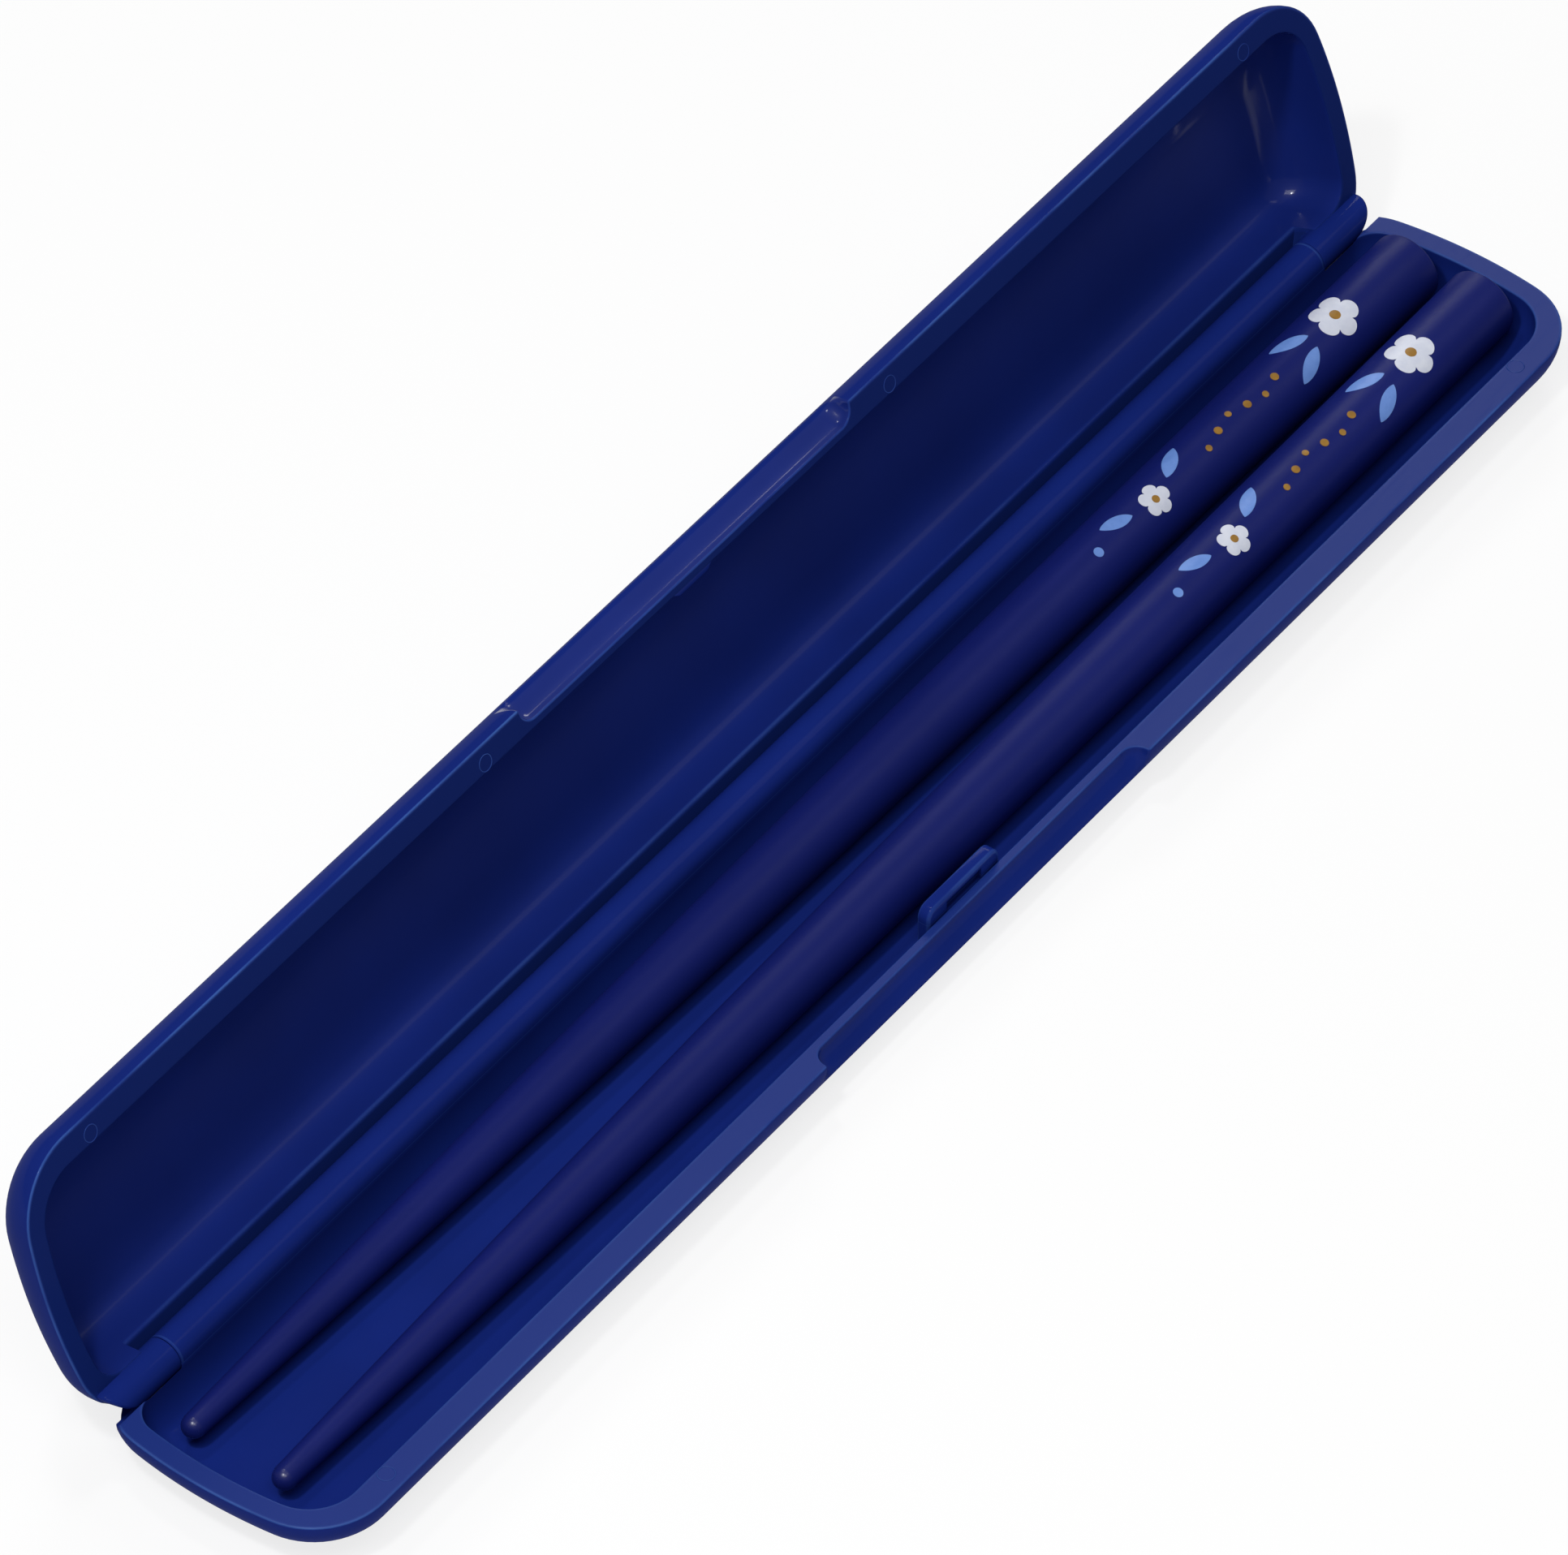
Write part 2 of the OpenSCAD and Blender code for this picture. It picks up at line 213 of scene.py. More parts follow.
# Stage and lamps, in metres and watts: name, place, size and power; every lamp faces the middle of the case
FLOOR_REACH = 20.0
FLOOR_DROP = 0.0001
PAPER_WHITE = 0.92
PAPER_GLOW = 0.8
WORLD_STRENGTH = 0.16
LAMPS = [
    ("key", (-0.32, -0.03, 0.65), (0.06, 0.06), 1.6),
    ("overhead", (-0.32, -0.16, 0.62), (0.45, 0.2), 1.85),
    ("fill", (0.44, -0.3, 0.58), (0.3, 0.3), 0.5),
    ("back_light", (0.0, 0.165, 0.575), (0.06, 0.06), 0.45),
    ("rim_light", (0.57, 0.38, 0.45), (0.3, 0.17), 1.65),
]

# Camera, fitted to the photograph
PHOTO_WIDTH_PX = 1932
FOCAL_PX = 15747.46
SENSOR_WIDTH = 36.0
VIEW_AZIMUTH = math.radians(218.3277)
VIEW_ELEVATION = math.radians(45.5094)
VIEW_ROLL = math.radians(-1.7341)
VIEW_DISTANCE = 1150.5
VIEW_TARGET = Vector((2.03, 10.76, 6.2))
CLIP_NEAR = 50
CLIP_FAR = 100000


# Materials

def srgb(red, green, blue):
    """A colour given in 8-bit sRGB, as linear light."""
    def linear(value):
        share = value/255
        return share/12.92 if share <= 0.04045 else ((share + 0.055)/1.055)**2.4
    return (linear(red), linear(green), linear(blue), 1.0)


SHELL_DARK = srgb(19, 36, 109)
SHELL_LIGHT = srgb(21, 40, 120)
SHELL_FLOW = srgb(23, 39, 114)
SHELL_PAINTED_SHADE = srgb(18, 35, 98)
SHELL_MATT_SHEEN = srgb(22, 46, 121)
SHELL_WEAR_AND_HIGHLIGHT = srgb(66, 104, 176)
STICK_DARK = srgb(16, 26, 95)
STICK_LIGHT = srgb(19, 29, 103)
STICK_STREAK = srgb(17, 27, 93)
STEEL_DARK = srgb(176, 178, 182)
STEEL_LIGHT = srgb(206, 207, 210)
# Two shades and the roughness of each ink
INKS = {
    "white": (srgb(214, 218, 230), srgb(203, 208, 224), 0.45),
    "blue": (srgb(108, 146, 216), srgb(98, 136, 208), 0.45),
    "gold": (srgb(160, 118, 44), srgb(138, 100, 36), 0.4),
}


class Nodes:
    """A short way to write a material's nodes."""

    def __init__(self, name):
        self.material = bpy.data.materials.new(name)
        self.material.use_nodes = True
        self.tree = self.material.node_tree
        self.shader = self.tree.nodes["Principled BSDF"]
        self.place = self.add("ShaderNodeTexCoord").outputs["Object"]

    def add(self, kind, **values):
        node = self.tree.nodes.new(kind)
        for key, value in values.items():
            setattr(node, key, value)
        return node

    def link(self, source, target):
        self.tree.links.new(source, target)

    def stretched(self, scale):
        """The piece's own coordinates, scaled along each axis."""
        mapping = self.add("ShaderNodeMapping")
        mapping.inputs["Scale"].default_value = scale
        self.link(self.place, mapping.inputs["Vector"])
        return mapping.outputs["Vector"]

    def noise(self, scale, detail=3.0, roughness=0.5, vector=None):
        node = self.add("ShaderNodeTexNoise")
        node.inputs["Scale"].default_value = scale
        node.inputs["Detail"].default_value = detail
        node.inputs["Roughness"].default_value = roughness
        self.link(vector or self.place, node.inputs["Vector"])
        return node.outputs["Fac"]

    def spread(self, value, low, high, to_low, to_high):
        """Maps a value from one range to another, held at its ends."""
        node = self.add("ShaderNodeMapRange")
        node.inputs["From Min"].default_value = low
        node.inputs["From Max"].default_value = high
        node.inputs["To Min"].default_value = to_low
        node.inputs["To Max"].default_value = to_high
        self.link(value, node.inputs["Value"])
        return node.outputs["Result"]

    def mix(self, share, first, second):
        """Mixes two colours; each is a colour or another node's output.

        The node's colour sockets are taken by number, because it has other sockets of the same names.
        """
        node = self.add("ShaderNodeMix", data_type="RGBA")
        self.link(share, node.inputs["Factor"])
        for socket, colour in ((node.inputs[6], first), (node.inputs[7], second)):
            if isinstance(colour, tuple):
                socket.default_value = colour
            else:
                self.link(colour, socket)
        return node.outputs[2]

    def combine(self, operation, first, second):
        node = self.add("ShaderNodeMath", operation=operation)
        self.link(first, node.inputs[0])
        self.link(second, node.inputs[1])
        return node.outputs["Value"]

    def add_values(self, first, second):
        return self.combine("ADD", first, second)

    def multiply(self, first, second):
        return self.combine("MULTIPLY", first, second)

    def mark(self, name):
        """A value that the mesh's points carry, such as how much an edge is rubbed."""
        return self.add("ShaderNodeAttribute", attribute_name=name).outputs["Fac"]

    def at_height(self, height, half_band):
        """One in a thin band round a height in the piece's own coordinates, zero elsewhere."""
        parts = self.add("ShaderNodeSeparateXYZ")
        self.link(self.place, parts.inputs["Vector"])
        above = self.spread(parts.outputs["Z"], height - 2*half_band, height - half_band, 0, 1)
        below = self.spread(parts.outputs["Z"], height + half_band, height + 2*half_band, 1, 0)
        return self.multiply(above, below)

    def bump(self, height, strength, distance):
        node = self.add("ShaderNodeBump")
        node.inputs["Strength"].default_value = strength
        node.inputs["Distance"].default_value = distance
        self.link(height, node.inputs["Height"])
        self.link(node.outputs["Normal"], self.shader.inputs["Normal"])

    def set(self, **values):
        """Sets the shader's own sockets; an underscore stands for a space."""
        for key, value in values.items():
            self.shader.inputs[key.replace("_", " ")].default_value = value

    def feed(self, **sources):
        """Links outputs to the shader's sockets; an underscore stands for a space."""
        for key, source in sources.items():
            self.link(source, self.shader.inputs[key.replace("_", " ")])


def shell_plastic(name, matt_sheen_height=None):
    """Moulded navy plastic: faint flow clouds, fine grain, rubbed edges with a highlight painted on them and
    a thin shine.

    Faces marked with polish gleam, or are etched and painted darker as shade; where a height in metres is
    given, the faces there are matt and painted lighter as their sheen.
    """
    nodes = Nodes(name)
    clouds = nodes.spread(nodes.noise(70, detail=4), 0.3, 0.7, 0, 1)
    flow = nodes.spread(nodes.noise(1, detail=3, vector=nodes.stretched((25, 420, 420))), 0.35, 0.65, 0, 1)
    body = nodes.mix(clouds, SHELL_DARK, SHELL_LIGHT)
    body = nodes.mix(nodes.spread(flow, 0, 1, 0, 0.35), body, SHELL_FLOW)
    grain = nodes.spread(nodes.noise(5200, detail=2), 0.3, 0.7, 0.1, 0.14)
    scuffs = nodes.noise(1, detail=5, roughness=0.65, vector=nodes.stretched((120, 2600, 2600)))
    rough = nodes.add_values(grain, nodes.spread(scuffs, 0.55, 0.75, 0, 0.08))
    polish = nodes.mark("polish")
    # Faces with polish below zero are painted darker as shade.
    body = nodes.mix(nodes.spread(polish, -1, 0, 1, 0), body, SHELL_PAINTED_SHADE)
    soft = nodes.spread(polish, 0, SATIN, 0, 1)
    soft_coat = SATIN_COAT
    if matt_sheen_height is not None:
        soft = nodes.at_height(matt_sheen_height, MATT_HALF_BAND*MM)
        soft_coat = MATT_COAT
        # Besides its matt coat, the base's rim band is painted a lighter colour as its sheen.
        body = nodes.mix(nodes.spread(soft, 0, 1, 0, MATT_SHEEN_SHARE), body, SHELL_MATT_SHEEN)
    coat = nodes.spread(soft, 0, 1, MOULDED_COAT, soft_coat)
    nodes.feed(Roughness=rough,
               Specular_IOR_Level=nodes.spread(polish, SATIN, 1, 0, POLISHED_SPECULAR),
               Coat_Weight=nodes.add_values(coat, nodes.spread(polish, -1, 0, -ETCHING_LOSS, 0)),
               Coat_Roughness=nodes.add_values(rough, nodes.spread(soft, 0, 1, 0, SOFT_ROUGHNESS)))
    patches = nodes.spread(nodes.noise(90, detail=4), 0.35, 0.65, 0.1, 0.6)
    # Marked edges are painted lighter, partly as wear and partly as a painted highlight.
    nodes.feed(Base_Color=nodes.mix(nodes.multiply(nodes.mark("wear_and_highlight"), patches), body, SHELL_WEAR_AND_HIGHLIGHT))
    nodes.bump(nodes.noise(900, detail=3), strength=0.12, distance=0.00003)
    return nodes.material


def stick_lacquer():
    """Satin lacquer, more purple than the shells, with a soft grain along the stick and a polished tip."""
    nodes = Nodes("stick_lacquer")
    clouds = nodes.spread(nodes.noise(45, detail=4), 0.3, 0.7, 0, 1)
    streaks = nodes.noise(1, detail=4, roughness=0.6, vector=nodes.stretched((30, 1400, 1400)))
    body = nodes.mix(clouds, STICK_DARK, STICK_LIGHT)
    nodes.feed(Base_Color=nodes.mix(nodes.spread(streaks, 0.35, 0.7, 0, 0.5), body, STICK_STREAK))
    grain = nodes.noise(2600, detail=3)
    nodes.feed(Roughness=nodes.spread(grain, 0.3, 0.7, 0.22, 0.28),
               Coat_Roughness=nodes.spread(grain, 0.3, 0.7, 0.4, 0.48),
               Specular_IOR_Level=nodes.spread(nodes.mark("polish"), 0, 1, 0, TIP_SPECULAR))
    relief = nodes.add_values(nodes.spread(streaks, 0, 1, 0, 0.6), nodes.noise(3000, detail=2))
    nodes.bump(relief, strength=0.1, distance=0.00004)
    nodes.set(Coat_Weight=STICK_COAT)
    return nodes.material


def drawn_steel():
    """Drawn steel wire with fine lines along the pin."""
    nodes = Nodes("drawn_steel")
    lines = nodes.noise(1, detail=4, roughness=0.6, vector=nodes.stretched((60, 6000, 6000)))
    nodes.feed(Base_Color=nodes.mix(nodes.spread(lines, 0.3, 0.7, 0, 1), STEEL_DARK, STEEL_LIGHT),
               Roughness=nodes.spread(lines, 0.3, 0.7, 0.24, 0.38))
    nodes.bump(lines, strength=0.15, distance=0.00002)
    nodes.set(Metallic=1.0)
    return nodes.material


def ink(name, light, dark, roughness):
    """Printing ink: a slightly uneven coat."""
    nodes = Nodes(name)
    coat = nodes.spread(nodes.noise(1100, detail=4, roughness=0.6), 0.32, 0.68, 0, 1)
    grain = nodes.noise(3200, detail=2)
    nodes.feed(Base_Color=nodes.mix(coat, light, dark),
               Roughness=nodes.spread(grain, 0.3, 0.7, roughness - 0.05, roughness + 0.05))
    nodes.bump(coat, strength=0.08, distance=0.00002)
    nodes.set(Specular_IOR_Level=INK_SPECULAR)
    return nodes.material


# Mesh helpers

def piece(name, points, faces, material, body, slot, matrix=None, marks=None):
    """Makes a piece, from points in millimetres, on a body; marks are values per point. The slot is not used.
    """
    mesh = bpy.data.meshes.new(name)
    work = bmesh.new()
    layers = {mark: work.verts.layers.float.new(mark) for mark in ("wear_and_highlight", "polish")}
    turn = matrix or Matrix.Identity(4)
    corners = [work.verts.new((turn @ Vector(point))*MM) for point in points]
    for mark, values in (marks or {}).items():
        for corner, value in zip(corners, values):
            corner[layers[mark]] = value
    for face in faces:
        work.faces.new([corners[i] for i in face])
    bmesh.ops.remove_doubles(work, verts=work.verts, dist=WELD*MM)
    bmesh.ops.dissolve_degenerate(work, edges=work.edges, dist=SHORTEST*MM)
    bmesh.ops.recalc_face_normals(work, faces=work.faces)
    work.to_mesh(mesh)
    work.free()
    made = bpy.data.objects.new(name, mesh)
    bpy.context.scene.collection.objects.link(made)
    mesh.materials.append(material)
    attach(made, body)
    return made


def smooth(made, sharp_degrees=38):
    """Smooth shading that keeps real edges sharp."""
    mesh = made.data
    mesh.polygons.foreach_set("use_smooth", [True]*len(mesh.polygons))
    mesh.set_sharp_from_angle(angle=math.radians(sharp_degrees))
    return made


def loft(rings):
    """Faces between rings of points that have as many points each, with flat faces over both ends."""
    count = len(rings[0])
    points = [point for ring in rings for point in ring]
    faces = []
    for row in range(len(rings) - 1):
        for i in range(count):
            after = (i + 1) % count
            faces.append((row*count + i, row*count + after, (row + 1)*count + after, (row + 1)*count + i))
    faces.append(tuple(range(count)))
    faces.append(tuple(range((len(rings) - 1)*count, len(rings)*count)))
    return points, faces


def lathe(profile, sides):
    """Points and faces of a turned form round the X axis, from (place along it, radius) pairs."""
    rings = [[(along, radius*math.cos(math.tau*i/sides), radius*math.sin(math.tau*i/sides))
              for i in range(sides)] for along, radius in profile]
    return loft(rings)


def baked(made):
    """Applies a piece's modifiers to its mesh."""
    graph = bpy.context.evaluated_depsgraph_get()
    mesh = bpy.data.meshes.new_from_object(made.evaluated_get(graph))
    old = made.data
    made.modifiers.clear()
    made.data = mesh
    mesh.name = made.name
    bpy.data.meshes.remove(old)
    return made


def carve(made, tool, operation, edge_round=0.0):
    """Cuts a tool out of a piece, or joins it on, and rounds the edges where the two meet."""
    tool_face = bpy.data.materials.new("tool_face")
    tool.data.materials.clear()
    tool.data.materials.append(tool_face)
    change = made.modifiers.new("carve", "BOOLEAN")
    change.operation = operation
    change.solver = "EXACT"
    change.material_mode = "TRANSFER"
    change.object = tool
    baked(made)
    bpy.data.objects.remove(tool)
    mesh = made.data
    own = {i for i, material in enumerate(mesh.materials)
           if material and material.name.startswith("tool_face")}
    work = bmesh.new()
    work.from_mesh(mesh)
    if edge_round:
        meet = [edge for edge in work.edges if len(edge.link_faces) == 2
                and len({face.material_index in own for face in edge.link_faces}) == 2]
        bmesh.ops.bevel(work, geom=meet, offset=edge_round*MM, segments=3, profile=0.5, affect="EDGES",
                        clamp_overlap=True)
    for face in work.faces:
        face.material_index = 0
    bmesh.ops.remove_doubles(work, verts=work.verts, dist=CARVED_WELD*MM)
    bmesh.ops.dissolve_degenerate(work, edges=work.edges, dist=CARVED_SHORTEST*MM)
    work.to_mesh(mesh)
    work.free()
    while len(mesh.materials) > 1:
        mesh.materials.pop(index=len(mesh.materials) - 1)
    bpy.data.materials.remove(tool_face)
    return made


def tool_from(points, faces):
    """A bare object for carve."""
    mesh = bpy.data.meshes.new("tool")
    mesh.from_pydata([Vector(point)*MM for point in points], [], faces)
    work = bmesh.new()
    work.from_mesh(mesh)
    bmesh.ops.remove_doubles(work, verts=work.verts, dist=WELD*MM)
    bmesh.ops.recalc_face_normals(work, faces=work.faces)
    work.to_mesh(mesh)
    work.free()
    made = bpy.data.objects.new("tool", mesh)
    bpy.context.scene.collection.objects.link(made)
    return made


def block(low, high):
    """Points and faces of a box."""
    points = [(x, y, z) for x in (low[0], high[0]) for y in (low[1], high[1]) for z in (low[2], high[2])]
    faces = [(0, 1, 3, 2), (4, 6, 7, 5), (0, 4, 5, 1), (2, 3, 7, 6), (0, 2, 6, 4), (1, 5, 7, 3)]
    return points, faces


def rounded(made, width):
    """Rounds a piece's sharp edges."""
    sharp_degrees = 30
    bevel = made.modifiers.new("edges", "BEVEL")
    bevel.width = width*MM
    bevel.segments = 3
    bevel.limit_method = "ANGLE"
    bevel.angle_limit = math.radians(sharp_degrees)
    baked(made)
    return smooth(made)


# Plan of the shells: a closed row of stations round the outline

Station = namedtuple("Station", "run side along recess normal even cut barrel")


def station(run, side, along, recess=0.0, normal=None, even=None, cut=0.0, barrel=False):
    return Station(run, side, along, recess, normal, along if even is None else even, cut, barrel)


def plan_corners(half, front, hinge, front_r, hinge_r):
    """Centres and meeting angles of the arcs at one end of an outline."""
    bow_x = half - END_BOW
    front_y = front + front_r
    hinge_y = hinge - hinge_r
    front_x = math.sqrt((END_BOW - front_r)**2 - front_y**2)
    hinge_x = math.sqrt((END_BOW - hinge_r)**2 - hinge_y**2)
    return (bow_x, bow_x + front_x, front_y, bow_x + hinge_x, hinge_y,
            math.atan2(front_y, front_x), math.atan2(hinge_y, hinge_x))


OUTLINE = (HALF_LENGTH, FRONT_Y, HINGE_Y, FRONT_CORNER, HINGE_CORNER)
RIM_FRONT_X = plan_corners(*OUTLINE)[1]
RIM_REAR_X = plan_corners(*OUTLINE)[3]
RECESS_END = RECESS_HALF + RECESS_EDGE + RECESS_SIDE


def recess_half():
    """Stations from the middle of the recess to its end: (place, depth, normal into the material)."""
    floor_end = RECESS_HALF - RECESS_ROUND
    round_steps = 10
    edge_steps = 4
    path = [(floor_end*i/RECESS_FLOOR_STEPS, RECESS_DEPTH, (0, 1)) for i in range(RECESS_FLOOR_STEPS)]
    for i in range(round_steps + 1):
        turn = math.radians(90 - 90*i/round_steps)
        path.append((floor_end + RECESS_ROUND*math.cos(turn),
                     RECESS_DEPTH - RECESS_ROUND + RECESS_ROUND*math.sin(turn),
                     (math.cos(turn), math.sin(turn))))
    for i in range(edge_steps + 1):
        turn = math.radians(90 - 90*i/edge_steps)
        path.append((RECESS_HALF + RECESS_EDGE - RECESS_EDGE*math.sin(turn), RECESS_EDGE*(1 - math.cos(turn)),
                     (math.sin(turn), math.cos(turn))))
    return path


def front_run():
    """Stations along the front edge, from left to right."""
    path = recess_half()
    spread_from = RECESS_HALF - RECESS_ROUND - RECESS_SIDE
    first = RECESS_FLOOR_STEPS
    right = []
    for i, (x, depth, normal) in enumerate(path):
        share = max(0, i - first + 1)/(len(path) - first + 1)
        even = x if i < first else spread_from + (RECESS_END - spread_from)*share
        right.append(station("front", 1, x, depth, normal, even))
    outer = [RECESS_END + (RIM_FRONT_X - RECESS_END)*share for share in (0, 0.12, 0.3, 0.5, 0.7, 0.88, 1)]
    right += [station("front", 1, x, 0, (0, 1)) for x in outer]
    left = [s._replace(along=-s.along, even=-s.even, normal=(-s.normal[0], s.normal[1]))
            for s in right[:0:-1]]
    return left + right


def end_run(side):
    """Stations round one end, from the front corner to the hinge corner."""
    steps = [("front_corner", 14), ("bow", 16), ("hinge_corner", 14)]
    run = [station(name, side, (i + 1)/count) for name, count in steps for i in range(count)]
    return run[:-1]


def rear_run(has_barrel):
    """Stations along the hinge edge, from right to left."""
    inner = [share*BARREL_HALF for share in (0, 0.2, 0.4, 0.6, 0.8, 0.93)]
    inner += [BARREL_HALF - SEAM_RUN*share for share in (1.2, 0.9)]
    right = [station("rear", 1, x, barrel=has_barrel, cut=0 if has_barrel else 1) for x in inner]
    if has_barrel:
        right += [station("rear", 1, BARREL_HALF, barrel=True), station("rear", 1, BARREL_HALF)]
    else:
        start = BARREL_HALF + KNUCKLE_GAP
        steps = 6
        right += [station("rear", 1, start + CUT_END_RUN*i/steps, cut=(1 + math.cos(math.pi*i/steps))/2)
                  for i in range(steps + 1)]
    right += [station("rear", 1, x) for x in (BARREL_HALF + CUT_END_PAST, RIM_REAR_X)]
    left = [s._replace(along=-s.along, even=-s.even) for s in right]
    return right[::-1] + left[1:]


def stations(has_barrel):
    """All stations of a shell, counter-clockwise from the left of the front edge."""
    return front_run() + end_run(1) + rear_run(has_barrel) + end_run(-1)[::-1]


def plan_point(s, half, front, hinge, front_r, hinge_r, even_share):
    """Place and inward normal of a station on an outline. even_share draws crowded stations apart."""
    corners = plan_corners(half, front, hinge, front_r, hinge_r)
    bow_x, front_x, front_y, hinge_x, hinge_y, front_a, hinge_a = corners
    if s.run == "front":
        x = s.along + (s.even - s.along)*even_share
        beyond = max(0, abs(x) - RECESS_END)/(RIM_FRONT_X - RECESS_END)
        x = math.copysign(min(abs(x), RECESS_END) + beyond*(front_x - RECESS_END), x)
        return (x, front), s.normal
    if s.run == "rear":
        return (s.along*hinge_x/RIM_REAR_X, hinge), (0, -1)
    spans = {"front_corner": (front_x, front_y, front_r, -math.pi/2, front_a),
             "bow": (bow_x, 0, END_BOW, front_a, hinge_a),
             "hinge_corner": (hinge_x, hinge_y, hinge_r, hinge_a, math.pi/2)}
    x, y, radius, start, end = spans[s.run]
    angle = start + (end - start)*s.along
    return ((s.side*(x + radius*math.cos(angle)), y + radius*math.sin(angle)),
            (-s.side*math.cos(angle), -math.sin(angle)))


def come_in(curve, share, power=2.0):
    """How far a curved wall has come in at a share of its height."""
    return curve*(1 - max(0, 1 - share**power)**(1/power))


# How far the front, end and hinge walls curve in, and the squareness of the end and hinge curves: 2 is round
Wall = namedtuple("Wall", "half front hinge front_r hinge_r height straight curves end_power hinge_power")
BASE_OUTER = Wall(HALF_LENGTH, FRONT_Y, HINGE_Y, FRONT_CORNER, HINGE_CORNER, BASE_HEIGHT, RIM_STRAIGHT,
                  (7, 8.5, 3), 2.0, 2.0)
BASE_INNER = Wall(INNER_HALF_LENGTH, INNER_FRONT_Y, INNER_HINGE_Y, FRONT_INNER_CORNER, HINGE_INNER_CORNER,
                  BASE_DEPTH, 0, (4, 3.2, 2), 2.0, 2.0)
LID_OUTER = Wall(HALF_LENGTH, FRONT_Y, HINGE_Y, FRONT_CORNER, HINGE_CORNER, LID_HEIGHT, RIM_STRAIGHT,
                 (13, 11, 14), 2.0, 3.5)
LID_INNER = Wall(INNER_HALF_LENGTH, INNER_FRONT_Y, INNER_HINGE_Y, FRONT_INNER_CORNER, HINGE_INNER_CORNER,
                 LID_DEPTH, 0, (9, 5.5, 10), 3.0, 7.0)


def wall_point(wall, s, down, even_share):
    """Place and inward normal of a station on a wall, at a distance from the rim's plane."""
    share = min(1, max(0, (down - wall.straight)/(wall.height - wall.straight)))
    front_in = come_in(wall.curves[0], share)
    end_in = come_in(wall.curves[1], share, wall.end_power)
    hinge_in = come_in(wall.curves[2], share, wall.hinge_power)
    width = wall.hinge - wall.front
    left = (width - front_in - hinge_in)/width
    return plan_point(s, wall.half - end_in, wall.front + front_in, wall.hinge - hinge_in,
                      wall.front_r*left, wall.hinge_r*left, even_share)


def recess_in(wall, s, down):
    """How far the finger recess pushes a station in, at a distance from the rim's plane."""
    if not s.recess or down >= RECESS_DROP:
        return 0
    def own(at):
        return come_in(wall.curves[0], max(0, at - wall.straight)/(wall.height - wall.straight))
    run = max(0, down - RECESS_LIP)/(RECESS_DROP - RECESS_LIP)
    eased = run*run*(2 - run) + run*(1 - run)*RECESS_EASE
    floor = RECESS_DEPTH + (own(RECESS_DROP) - RECESS_DEPTH)*eased
    return s.recess/RECESS_DEPTH*max(0, floor - own(down))


def cut_height(s, y):
    """How far the lid's cut-out for the barrel reaches from the rim's plane, at a place across the wall."""
    if not s.cut:
        return 0
    across = y - AXIS_Y
    edge = max(HINGE_EDGE, math.sqrt(max(0, (BARREL_RADIUS + BARREL_GAP)**2 - across**2)))
    behind = (HINGE_WALL/2 + STOP_GAP - across*math.cos(OPEN_ANGLE))/math.sin(OPEN_ANGLE)
    if behind*math.cos(OPEN_ANGLE) - across*math.sin(OPEN_ANGLE) < STOP_GAP - RIM_GAP/2:
        edge = max(edge, behind)
    return s.cut*(edge - RIM_GAP/2)


def inner_round(s):
    """Rounding of the rim's inner edge, larger where the lid is cut out for the barrel."""
    return EDGE_ROUND + s.cut*(HINGE_EDGE_ROUND - EDGE_ROUND)


def edge_wear_and_highlight(s, zone, share, inner_wear_and_highlight):
    """How much a rim's edge or the barrel's end is rubbed and painted lighter as a highlight, from 0 to 1."""
    if s.barrel:
        return 1 if abs(s.along) > BARREL_HALF - SEAM_RUN else 0
    if zone == "flat":
        return 0
    middle = 1 if abs(share - 0.5) < EDGE_CORE else EDGE_FADE
    if s.cut:
        return CUT_WEAR_AND_HIGHLIGHT*middle if zone == "inner" else 0
    spared = RECESS_WEAR_AND_HIGHLIGHT if s.recess else 1
    return (1 if zone == "outer" else inner_wear_and_highlight)*middle*spared


def inner_polish(s, share):
    """How polished the inside is at a share of its height; the roof and the bend at the hinge are softer."""
    if share > ROOF_SHARE:
        return SATIN
    return BEND_POLISH if s.run == "rear" and share > BEND_SHARE else 1


